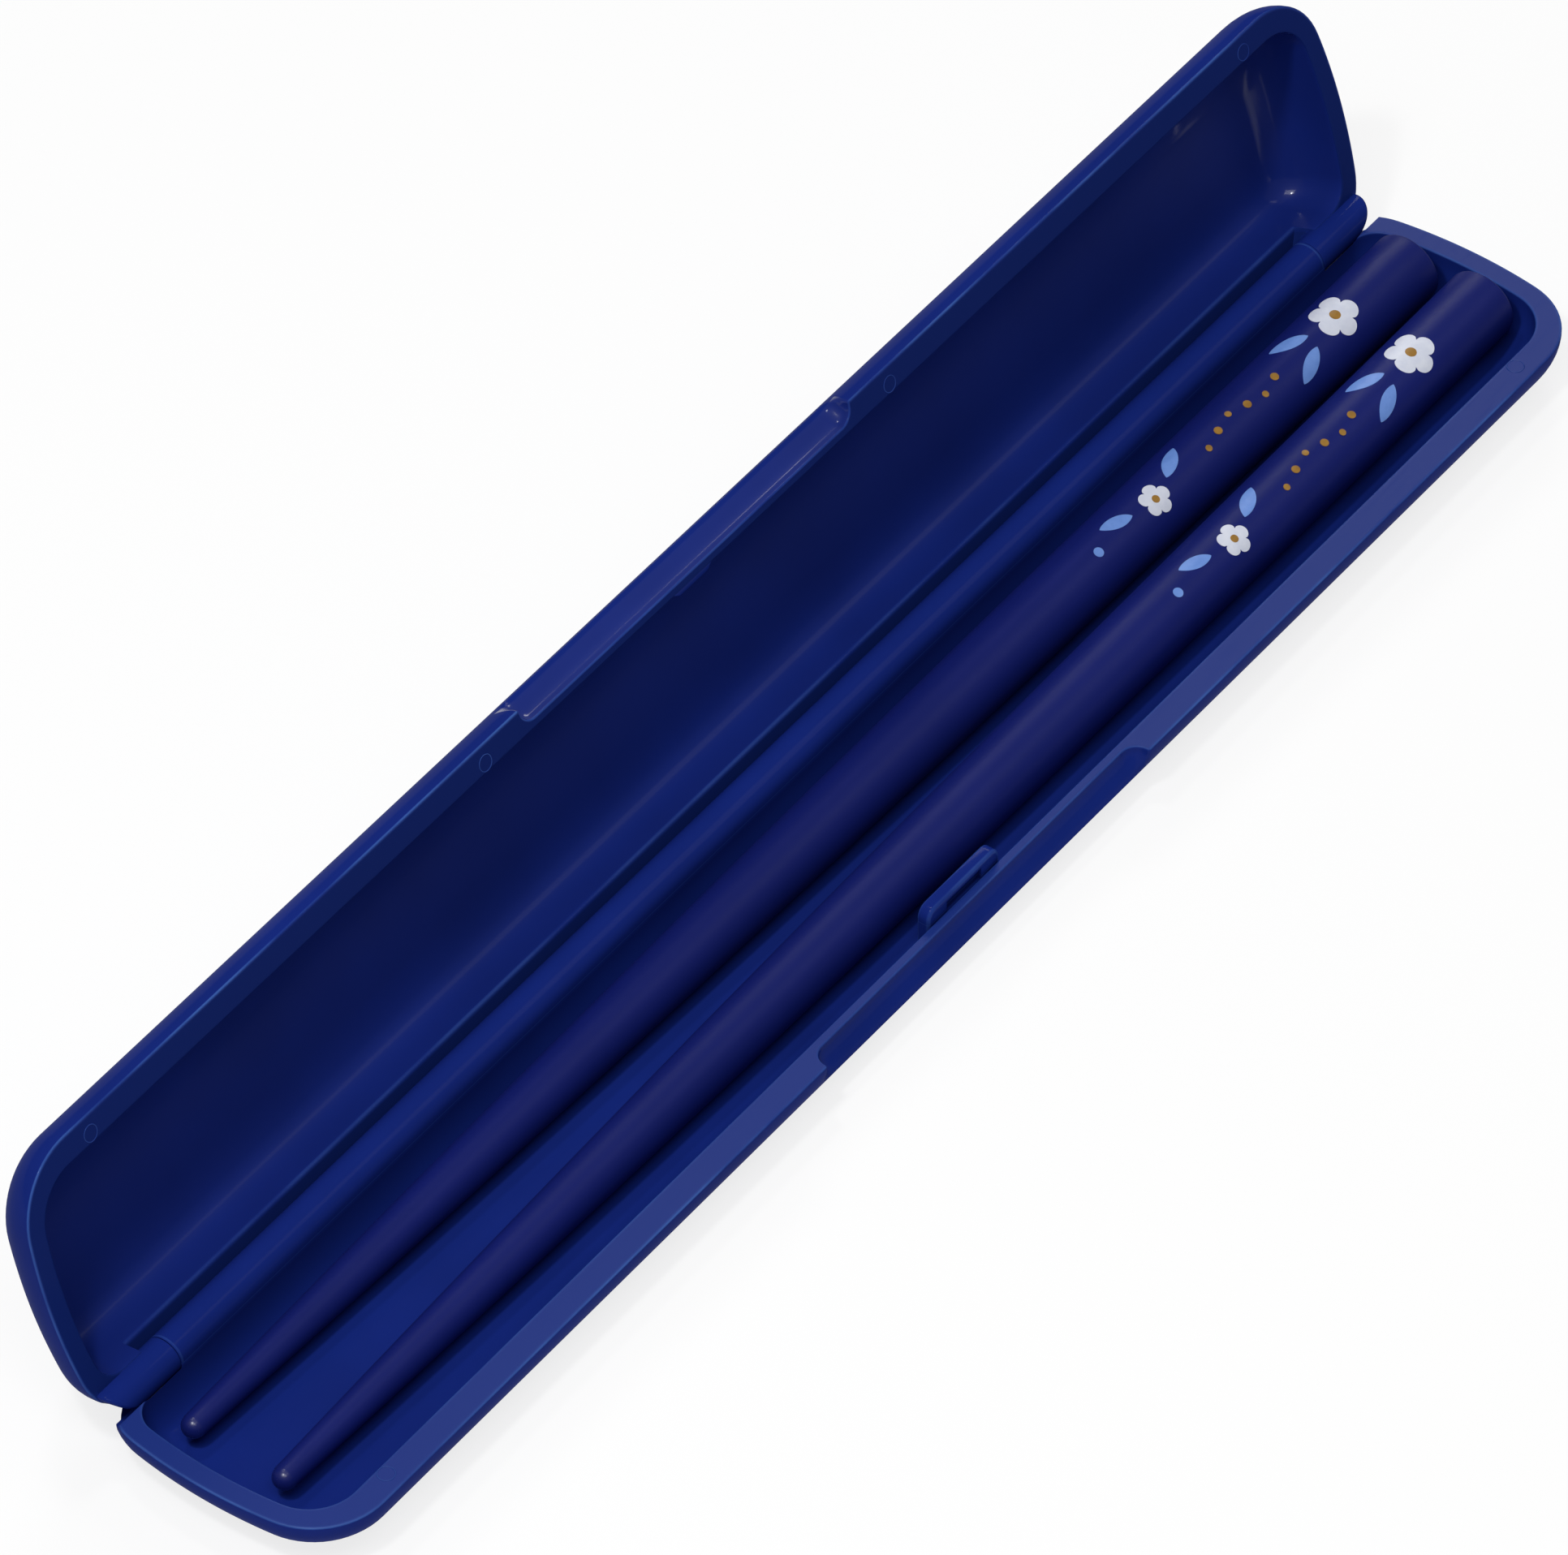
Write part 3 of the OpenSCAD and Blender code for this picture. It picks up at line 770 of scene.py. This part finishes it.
def shell_rings(outer, inner, run, inner_wear_and_highlight, polish):
    """Rings of (x, y, distance from the rim's plane) from the outer middle to the inner one, with marks."""
    outer_steps = 16
    recess_steps = 14
    inner_steps = 24
    rings = []
    marks = {"polish": []}
    curved = outer.height - outer.straight
    drop_angle = math.asin((RECESS_DROP - outer.straight)/curved)
    downs = [outer.straight + curved*math.sin(drop_angle + (math.pi/2 - drop_angle)*i/outer_steps)
             for i in range(outer_steps, 0, -1)]
    downs += [EDGE_ROUND + (RECESS_DROP - EDGE_ROUND)*i/recess_steps for i in range(recess_steps, -1, -1)]
    for down in downs:
        spread = min(1, max(0, down - RECESS_LIP)/(RECESS_DROP - RECESS_LIP))
        ring = []
        for s in run:
            cut = cut_height(s, outer.hinge)
            at = cut + down*(1 - cut/outer.height)
            (x, y), _ = wall_point(outer, s, at, spread)
            ring.append((x, y + recess_in(outer, s, at), at))
        rings.append(ring)
        marks["polish"] += [polish if s.recess and down < RECESS_POLISH_SHARE*RECESS_DROP else 0 for s in run]
    rim, rim_wear_and_highlight = rim_rings(outer, inner, run, inner_wear_and_highlight)
    marks["wear_and_highlight"] = [0]*len(run)*len(rings) + rim_wear_and_highlight
    # The lid's rim flat gets polish -1 and so is painted darker as shade.
    marks["polish"] += [0 if wear_or_highlight else -polish for wear_or_highlight in rim_wear_and_highlight]
    rings += rim
    start = math.asin(EDGE_ROUND/inner.height)
    for i in range(inner_steps + 1):
        down = inner.height*math.sin(start + (math.pi/2 - start)*i/inner_steps)
        share = (down - EDGE_ROUND)/(inner.height - EDGE_ROUND)
        ring = []
        for s in run:
            first = cut_height(s, inner.hinge) + inner_round(s)
            at = first + share*(inner.height - first)
            (x, y), _ = wall_point(inner, s, at, 1)
            ring.append((x, y, at))
        rings.append(ring)
        marks["polish"] += [polish*inner_polish(s, share) for s in run]
    return rings, marks


def rim_rings(outer, inner, run, inner_wear_and_highlight):
    """Rings over the rim, with their wear and painted highlight: rounded edges and the flat between them, or
    half the barrel.
    """
    edge_steps = 4
    flat_steps = 14
    spots = [("outer", i/edge_steps) for i in range(1, edge_steps + 1)]
    spots += [("flat", i/flat_steps) for i in range(1, flat_steps)]
    spots += [("inner", i/edge_steps) for i in range(edge_steps)]
    rings = []
    wear_and_highlight = []
    for number, (zone, share) in enumerate(spots):
        wear_and_highlight += [edge_wear_and_highlight(s, zone, share, inner_wear_and_highlight) for s in run]
        ring = []
        for s in run:
            if s.barrel:
                turn = math.pi*number/(len(spots) - 1)
                ring.append((s.along, AXIS_Y + BARREL_RADIUS*math.cos(turn),
                             BASE_HEIGHT - AXIS_Z - BARREL_RADIUS*math.sin(turn)))
                continue
            (ox, oy), out_n = wall_point(outer, s, cut_height(s, outer.hinge), 0)
            oy += recess_in(outer, s, 0)
            (ix, iy), in_n = wall_point(inner, s, cut_height(s, inner.hinge), 1)
            into = in_n if s.run != "front" else (0, 1)
            turn = share*math.pi/2
            down = 0
            if zone == "outer":
                move = EDGE_ROUND*(1 - math.cos(turn))
                down = EDGE_ROUND*(1 - math.sin(turn))
                x, y = ox + out_n[0]*move, oy + out_n[1]*move
            elif zone == "inner":
                move = inner_round(s)*(1 - math.sin(turn))
                down = inner_round(s)*(1 - math.cos(turn))
                x, y = ix - into[0]*move, iy - into[1]*move
            else:
                ax, ay = ox + out_n[0]*EDGE_ROUND, oy + out_n[1]*EDGE_ROUND
                bx, by = ix - into[0]*inner_round(s), iy - into[1]*inner_round(s)
                x, y = ax + (bx - ax)*share, ay + (by - ay)*share
            ring.append((x, y, down + cut_height(s, y)))
        rings.append(ring)
    return rings, wear_and_highlight


# Hinge pieces

def outline_end(y):
    """Where the case's outline ends along X at a place across it, on the hinge side."""
    bow_x, _, _, corner_x, corner_y, _, _ = plan_corners(*OUTLINE)
    across = y - corner_y
    if across > 0:
        return corner_x + math.sqrt(max(0, HINGE_CORNER**2 - across**2))
    return bow_x + math.sqrt(END_BOW**2 - y**2)


def knuckle(side):
    """A lid knuckle on the hinge axis, its rounded end following the case's outline."""
    sides = 64
    round_steps = 6
    start = BARREL_HALF + KNUCKLE_GAP
    rows = [(0.0, BARREL_RADIUS - KNUCKLE_CHAMFER), (KNUCKLE_CHAMFER, BARREL_RADIUS)]
    rings = []
    for ahead, radius in rows:
        rings.append([(side*(start + ahead), AXIS_Y + radius*math.cos(math.tau*i/sides),
                       AXIS_Z + radius*math.sin(math.tau*i/sides)) for i in range(sides)])
    for step in range(round_steps + 1):
        turn = math.radians(90*step/round_steps)
        radius = BARREL_RADIUS - KNUCKLE_ROUND*(1 - math.cos(turn))
        back = KNUCKLE_ROUND*(1 - math.sin(turn))
        rings.append(knuckle_ring(side, radius, back, sides))
    for share in (0.75, 0.5, 0.25, 0.04):
        rings.append(knuckle_ring(side, (BARREL_RADIUS - KNUCKLE_ROUND)*share, 0, sides))
    return loft(rings)


def knuckle_ring(side, radius, back, sides):
    """A ring of a knuckle's end, held back from the outline."""
    ring = []
    for i in range(sides):
        y = AXIS_Y + radius*math.cos(math.tau*i/sides)
        z = AXIS_Z + radius*math.sin(math.tau*i/sides)
        ring.append((side*(outline_end(y) - KNUCKLE_SET_BACK - back), y, z))
    return ring


def on_axis(points):
    """Moves a turned form from the X axis to the hinge axis."""
    return [(x, y + AXIS_Y, z + AXIS_Z) for x, y, z in points]


# The two shells

def base_tray(material):
    """The base: tray, rim, finger recess and hinge barrel, with room for the lid's knuckles."""
    run = stations(True)
    rings, marks = shell_rings(BASE_OUTER, BASE_INNER, run, BASE_INNER_WEAR_AND_HIGHLIGHT, polish=0)
    points, faces = loft([[(x, y, BASE_HEIGHT - down) for x, y, down in ring] for ring in rings])
    made = piece("base_tray", points, faces, material, "base", "shell", marks=marks)
    bore_end = BARREL_HALF - PIN_REACH
    seam = BARREL_HALF - SHAVE
    far = HALF_LENGTH + PAST
    for side in (1, -1):
        profile = [(bore_end, AXIS_RADIUS), (bore_end, PIN_BORE), (seam, PIN_BORE),
                   (seam, NOTCH_RADIUS), (far, NOTCH_RADIUS), (far, AXIS_RADIUS)]
        turned, turned_faces = lathe([(side*x, radius) for x, radius in profile], sides=64)
        carve(made, tool_from(on_axis(turned), turned_faces), "DIFFERENCE", NOTCH_EDGE)
        start = AXIS_Y + HINGE_WALL/2*math.cos(OPEN_ANGLE)
        ends = sorted((side*seam, side*far))
        carve(made, tool_from(*block((ends[0], start, AXIS_Z - POCKET_FALL),
                                     (ends[1], HINGE_Y + PAST, AXIS_Z + PAST))), "DIFFERENCE", NOTCH_EDGE)
    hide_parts("base_shell")
    return smooth(made)


def opened():
    """Turns the shut lid to where it stands open."""
    axis = Vector((0, AXIS_Y, AXIS_Z))
    return Matrix.Translation(axis) @ Matrix.Rotation(-OPEN_ANGLE, 4, "X") @ Matrix.Translation(-axis)


def lid_cover(material):
    """The lid: dome, rim, finger recess, cut-out for the barrel and a knuckle at each end."""
    run = stations(False)
    rings, marks = shell_rings(LID_OUTER, LID_INNER, run, LID_INNER_WEAR_AND_HIGHLIGHT, polish=1)
    points, faces = loft([[(x, y, LID_RIM_Z + down) for x, y, down in ring] for ring in rings])
    made = piece("lid_cover", points, faces, material, "lid", "shell", marks=marks)
    far = HALF_LENGTH + PAST
    for side in (1, -1):
        carve(made, tool_from(*knuckle(side)), "UNION")
        profile = [(PIN_SEAT_START, AXIS_RADIUS), (PIN_SEAT_START, PIN_SEAT),
                   (far, PIN_SEAT), (far, AXIS_RADIUS)]
        turned, turned_faces = lathe([(side*x, radius) for x, radius in profile], sides=48)
        carve(made, tool_from(on_axis(turned), turned_faces), "DIFFERENCE", PIN_SEAT_EDGE)
    made.data.transform(Matrix.Scale(MM, 4) @ opened() @ Matrix.Scale(1/MM, 4))
    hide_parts("lid_shell")
    return smooth(made)


def round_topped(half, low, high, radius):
    """Outline of a plate with round top corners."""
    steps = 6
    right = [(half, low)]
    for i in range(steps + 1):
        turn = math.pi/2*i/steps
        right.append((half - radius + radius*math.cos(turn), high - radius + radius*math.sin(turn)))
    return right + [(-x, z) for x, z in right[::-1]]


def latch_tongue(material):
    """The latch tongue: a round-cornered block on the front wall, slotted for the lid's bead."""
    steps = 5
    edges = [(TONGUE_FRONT_Y + TONGUE_FRONT_EDGE*(1 - math.cos(turn)), TONGUE_FRONT_EDGE*(1 - math.sin(turn)))
             for turn in (math.pi/2*i/steps for i in range(steps + 1))]
    edges += [(TONGUE_REAR_Y - TONGUE_REAR_EDGE*(1 - math.sin(turn)), TONGUE_REAR_EDGE*(1 - math.cos(turn)))
              for turn in (math.pi/2*i/steps for i in range(steps + 1))]
    rings = []
    for y, inset in edges:
        face = round_topped(TONGUE_WIDTH/2 - inset, -TONGUE_RIB, TONGUE_HEIGHT - inset, TONGUE_ROUND - inset)
        rings.append([(x, y, BASE_HEIGHT + z) for x, z in face])
    # The tongue's edges are painted lighter, partly as wear and partly as a painted highlight.
    wear_and_highlight = [TONGUE_WEAR_AND_HIGHLIGHT if 0 < number % (steps + 1) < steps else 0
            for number, ring in enumerate(rings) for _ in ring]
    made = piece("latch_tongue", *loft(rings), material, "base", "shell", marks={"wear_and_highlight": wear_and_highlight})
    carve(made, tool_from(*block((-SLOT_HALF, TONGUE_FRONT_Y - PAST, BASE_HEIGHT + SLOT_LOW),
                                 (SLOT_HALF, SLOT_Y, BASE_HEIGHT + SLOT_HIGH))), "DIFFERENCE", SLOT_EDGE)
    return smooth(made)


def catch_bead(material):
    """The catch bead inside the lid's front edge, with sloping ends."""
    foot = BEAD_FOOT_HALF
    tip_y = INNER_FRONT_Y + BEAD_REACH
    root_y = INNER_FRONT_Y - BEAD_ROOT
    plan = [(-foot, root_y), (foot, root_y), (foot, INNER_FRONT_Y),
            (foot - BEAD_SLOPE, tip_y), (BEAD_SLOPE - foot, tip_y), (-foot, INNER_FRONT_Y)]
    low = LID_RIM_Z + BEAD_UP
    rings = [[(x, y, z) for x, y in plan] for z in (low, low + BEAD_HEIGHT)]
    made = piece("catch_bead", *loft(rings), material, "lid", "shell", opened())
    return rounded(made, BEAD_EDGE)


def ejector_mark(name, x, y, rim_z, up, polish, material, body, matrix=None):
    """The thin raised ring that an ejector pin left on a rim."""
    sides = 40
    profile = [(-MARK_SINK, MARK_RADIUS), (0, MARK_RADIUS)]
    profile += [(MARK_RISE, MARK_RADIUS - MARK_WIDTH*share) for share in MARK_CREST]
    profile += [(MARK_FLOOR, MARK_RADIUS - MARK_WIDTH)]
    turned, faces = lathe(profile, sides)
    # The crest is painted lighter, as wear and as a highlight; on the lid the rest of the ring is painted
    # darker as shade, like the lid's rim.
    wear_and_highlight = [share for share in (0, 0, 1, 1, 0) for _ in range(sides)]
    points = [(x + a, y + b, rim_z + up*along) for along, a, b in turned]
    marks = {"wear_and_highlight": wear_and_highlight, "polish": [polish*(1 - share) for share in wear_and_highlight]}
    return smooth(piece(name, points, faces, material, body, "shell", matrix, marks), sharp_degrees=20)


# Chopsticks

def stick_radius(share):
    """A chopstick's radius at a share of its length from the tip."""
    return BUTT_RADIUS - (BUTT_RADIUS - TIP_RADIUS)*(1 - share)**TAPER_POWER


def stick_profile():
    """(place from the tip, radius) along a chopstick, with a round tip and a softly rounded butt."""
    tip_steps = 12
    run_steps = 60
    butt_steps = 6
    profile = [(0, AXIS_RADIUS)]
    for i in range(1, tip_steps):
        turn = math.pi/2*i/tip_steps
        profile.append((TIP_RADIUS*(1 - math.cos(turn)), stick_radius(0)*math.sin(turn)))
    start = TIP_RADIUS
    end = STICK_LENGTH - BUTT_ROUND
    places = [start + (end - start)*i/run_steps for i in range(run_steps + 1)]
    profile += [(place, stick_radius(place/STICK_LENGTH)) for place in places]
    full = stick_radius(end/STICK_LENGTH)
    for i in range(1, butt_steps + 1):
        turn = math.pi/2*i/butt_steps
        profile.append((end + BUTT_ROUND*math.sin(turn), full - BUTT_ROUND*(1 - math.cos(turn))))
    return profile + [(STICK_LENGTH, full*0.5), (STICK_LENGTH, AXIS_RADIUS)]


def stick_matrix(handle_y, lean):
    """Lays a chopstick, turned along X from its tip, on its belly in the tray."""
    slope = (BUTT_RADIUS - TIP_RADIUS)*TAPER_POWER*(1 - BELLY)**(TAPER_POWER - 1)
    floor = BASE_HEIGHT - BASE_DEPTH
    tip_z = floor + FLOOR_GAP + stick_radius(BELLY) - slope*BELLY
    run = math.sqrt(STICK_LENGTH**2 - lean**2 - slope**2)
    butt_x = INNER_HALF_LENGTH - BUTT_GAP
    tip = Vector((butt_x - run, handle_y + lean, tip_z))
    butt = Vector((butt_x, handle_y, tip_z + slope))
    along = (butt - tip).normalized()
    across = Vector((0, 0, 1)).cross(along).normalized()
    up = along.cross(across)
    turn = Matrix((along, across, up)).transposed().to_4x4()
    return Matrix.Translation(tip) @ turn


# Print on the handles: a small generic pattern of blossoms, leaves and dots

def leaf(length, width):
    """Outline of a pointed leaf round its middle."""
    steps = 40
    pointed = 1.6
    return [(length/2*math.cos(t), width/2*math.copysign(abs(math.sin(t))**pointed, math.sin(t)))
            for t in (math.tau*i/steps for i in range(steps))]


def blossom(radius):
    """Outline of a lobed blossom."""
    steps = 80
    lobes = 5
    throat = 0.66
    fullness = 0.55
    outline = []
    for i in range(steps):
        t = math.tau*i/steps
        reach = radius*(throat + (1 - throat)*abs(math.cos(lobes*t/2))**fullness)
        outline.append((reach*math.cos(t), reach*math.sin(t)))
    return outline


def dot(radius):
    """Outline of a dot."""
    steps = 28
    return [(radius*math.cos(math.tau*i/steps), radius*math.sin(math.tau*i/steps)) for i in range(steps)]


PRINT_FILM = {"white": 0.04, "blue": 0.04, "gold": 0.055}
PRINT_SINK = 0.08
PRINT_FACING = math.radians(105)
# (shape, ink, distance from the butt, distance round the stick, turn in degrees)
PRINT = [
    (blossom(2.5), "white", 12.5, -0.4, 18), (dot(0.55), "gold", 12.5, -0.4, 0),
    (leaf(4.2, 1.5), "blue", 18.2, -1.6, 24), (leaf(4.2, 1.5), "blue", 18.6, 1.5, -24),
    (dot(0.42), "gold", 22.4, -0.1, 0), (dot(0.34), "gold", 24.6, 0.5, 0), (dot(0.42), "gold", 26.8, 0.0, 0),
    (dot(0.34), "gold", 29.0, -0.6, 0), (dot(0.42), "gold", 31.2, -0.1, 0), (dot(0.34), "gold", 33.4, 0.5, 0),
    (leaf(4.0, 1.5), "blue", 37.2, -1.2, -28),
    (blossom(1.7), "white", 41.6, 0.5, 0), (dot(0.4), "gold", 41.6, 0.5, 0),
    (leaf(3.6, 1.4), "blue", 46.4, -0.5, 20), (dot(0.5), "blue", 50.2, 0.4, 0),
]


def print_piece(name, shapes, film, matrix, material, body):
    """A thin film of ink that lies on a chopstick, in one or more closed shapes."""
    points = []
    faces = []
    for outline, from_butt, across, degrees in shapes:
        turn = math.radians(degrees)
        # From the middle of the top out to its edge, and back under it
        rows = [(share, film) for share in (0.02, 0.3, 0.6, 0.85, 1)] + [(1.0, -PRINT_SINK)]
        rows += [(share, -PRINT_SINK) for share in (0.6, 0.3, 0.02)]
        rings = []
        for share, height in rows:
            ring = []
            for a, b in outline:
                u = share*(a*math.cos(turn) - b*math.sin(turn))
                v = share*(a*math.sin(turn) + b*math.cos(turn))
                along = STICK_LENGTH - from_butt + u
                radius = stick_radius(along/STICK_LENGTH)
                angle = PRINT_FACING + (across + v)/radius
                reach = radius + height
                ring.append((along, reach*math.cos(angle), reach*math.sin(angle)))
            rings.append(ring)
        more, more_faces = loft(rings)
        faces += [tuple(i + len(points) for i in face) for face in more_faces]
        points += more
    return smooth(piece(name, points, faces, material, body, "chopstick", matrix), sharp_degrees=50)


def chopstick(name, body, node, handle_y, lean, lacquer, inks):
    """A chopstick with the print on its handle."""
    matrix = stick_matrix(handle_y, lean)
    sides = 96
    profile = stick_profile()
    polish = [1 if along < TIP_RADIUS else 0 for along, _ in profile for _ in range(sides)]
    made = smooth(piece(name, *lathe(profile, sides), lacquer, body, "chopstick", matrix, {"polish": polish}))
    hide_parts(node)
    for colour, material in inks.items():
        shapes = [(outline, from_butt, across, turn)
                  for outline, own, from_butt, across, turn in PRINT if own == colour]
        print_piece(f"{name}_print_{colour}", shapes, PRINT_FILM[colour], matrix, material, body)
    return made


# Stage, lights and camera

def white_floor():
    """A plain white floor that keeps a soft shadow."""
    corners = [(x*FLOOR_REACH, y*FLOOR_REACH, -FLOOR_DROP) for x, y in ((-1, -1), (1, -1), (1, 1), (-1, 1))]
    mesh = bpy.data.meshes.new("floor")
    mesh.from_pydata(corners, [], [(0, 1, 2, 3)])
    floor = bpy.data.objects.new("floor", mesh)
    bpy.context.scene.collection.objects.link(floor)
    material = bpy.data.materials.new("floor_paper")
    material.use_nodes = True
    tree = material.node_tree
    tree.nodes.clear()
    paper = tree.nodes.new("ShaderNodeBsdfDiffuse")
    paper.inputs["Color"].default_value = (PAPER_WHITE, PAPER_WHITE, PAPER_WHITE, 1)
    glow = tree.nodes.new("ShaderNodeEmission")
    glow.inputs["Color"].default_value = (1, 1, 1, 1)
    mix = tree.nodes.new("ShaderNodeMixShader")
    tree.links.new(seen_share(tree, PAPER_GLOW), mix.inputs["Fac"])
    tree.links.new(paper.outputs["BSDF"], mix.inputs[1])
    tree.links.new(glow.outputs["Emission"], mix.inputs[2])
    out = tree.nodes.new("ShaderNodeOutputMaterial")
    tree.links.new(mix.outputs["Shader"], out.inputs["Surface"])
    mesh.materials.append(material)


def seen_share(tree, most):
    """A share for rays that see the background: camera, glossy and transmission rays."""
    path = tree.nodes.new("ShaderNodeLightPath")
    total = path.outputs["Is Camera Ray"]
    for ray in ("Is Glossy Ray", "Is Transmission Ray"):
        larger = tree.nodes.new("ShaderNodeMath")
        larger.operation = "MAXIMUM"
        tree.links.new(total, larger.inputs[0])
        tree.links.new(path.outputs[ray], larger.inputs[1])
        total = larger.outputs["Value"]
    scaled = tree.nodes.new("ShaderNodeMath")
    scaled.operation = "MULTIPLY"
    scaled.inputs[1].default_value = most
    tree.links.new(total, scaled.inputs[0])
    return scaled.outputs["Value"]


def studio_world():
    """An even world that fills in the shadows."""
    world = bpy.data.worlds.new("studio")
    bpy.context.scene.world = world
    world.use_nodes = True
    back = world.node_tree.nodes["Background"]
    back.inputs["Color"].default_value = (1, 1, 1, 1)
    back.inputs["Strength"].default_value = WORLD_STRENGTH


def softbox(name, place, size, watts):
    """A rectangular area lamp that faces the middle of the case; place and size are in metres."""
    lamp = bpy.data.lights.new(name, "AREA")
    lamp.shape = "RECTANGLE"
    lamp.size, lamp.size_y = size
    lamp.energy = watts
    made = bpy.data.objects.new(name, lamp)
    made.location = place
    made.rotation_euler = (-Vector(place)).to_track_quat("-Z", "Y").to_euler()
    bpy.context.scene.collection.objects.link(made)


def photo_camera():
    """The camera at the photograph's view."""
    back = Vector((math.cos(VIEW_ELEVATION)*math.cos(VIEW_AZIMUTH),
                   math.cos(VIEW_ELEVATION)*math.sin(VIEW_AZIMUTH), math.sin(VIEW_ELEVATION)))
    right = (-back).cross(Vector((0, 0, 1))).normalized()
    up = right.cross(-back)
    rolled = math.cos(VIEW_ROLL)*right + math.sin(VIEW_ROLL)*up
    upward = math.cos(VIEW_ROLL)*up - math.sin(VIEW_ROLL)*right
    data = bpy.data.cameras.new("camera")
    data.sensor_width = SENSOR_WIDTH
    data.lens = SENSOR_WIDTH*FOCAL_PX/PHOTO_WIDTH_PX
    data.clip_start = CLIP_NEAR*MM
    data.clip_end = CLIP_FAR*MM
    camera = bpy.data.objects.new("camera", data)
    bpy.context.scene.collection.objects.link(camera)
    place = (VIEW_TARGET + VIEW_DISTANCE*back)*MM
    camera.matrix_world = Matrix.Translation(place) @ Matrix((rolled, upward, back)).transposed().to_4x4()
    bpy.context.scene.camera = camera


photo_camera()
white_floor()
studio_world()
for lamp in LAMPS:
    softbox(*lamp)
bpy.context.scene.view_settings.view_transform = "Standard"

base_plastic = shell_plastic("base_plastic", BASE_HEIGHT*MM)
lid_plastic = shell_plastic("lid_plastic")
lacquer = stick_lacquer()
steel = drawn_steel()
inks = {colour: ink(f"ink_{colour}", *look) for colour, look in INKS.items()}

base_tray(base_plastic)
lid_cover(lid_plastic)
latch_tongue(base_plastic)
catch_bead(lid_plastic)
for number, (x, y) in enumerate(BASE_MARKS, 1):
    ejector_mark(f"base_mark_{number}", x, y, BASE_HEIGHT, up=1, polish=0, material=base_plastic, body="base")
for number, (x, y) in enumerate(LID_MARKS, 1):
    ejector_mark(f"lid_mark_{number}", x, y, LID_RIM_Z, up=-1, polish=-1, material=lid_plastic, body="lid",
                 matrix=opened())

chopstick("front_chopstick", "front_stick", "chopstick_front", FRONT_HANDLE_Y, FRONT_LEAN, lacquer, inks)
chopstick("rear_chopstick", "rear_stick", "chopstick_rear", REAR_HANDLE_Y, REAR_LEAN, lacquer, inks)

for side in ("left", "right"):
    pin = frame["nodes"][f"hinge_pin_{side}"]
    pin.data.materials.clear()
    pin.data.materials.append(steel)
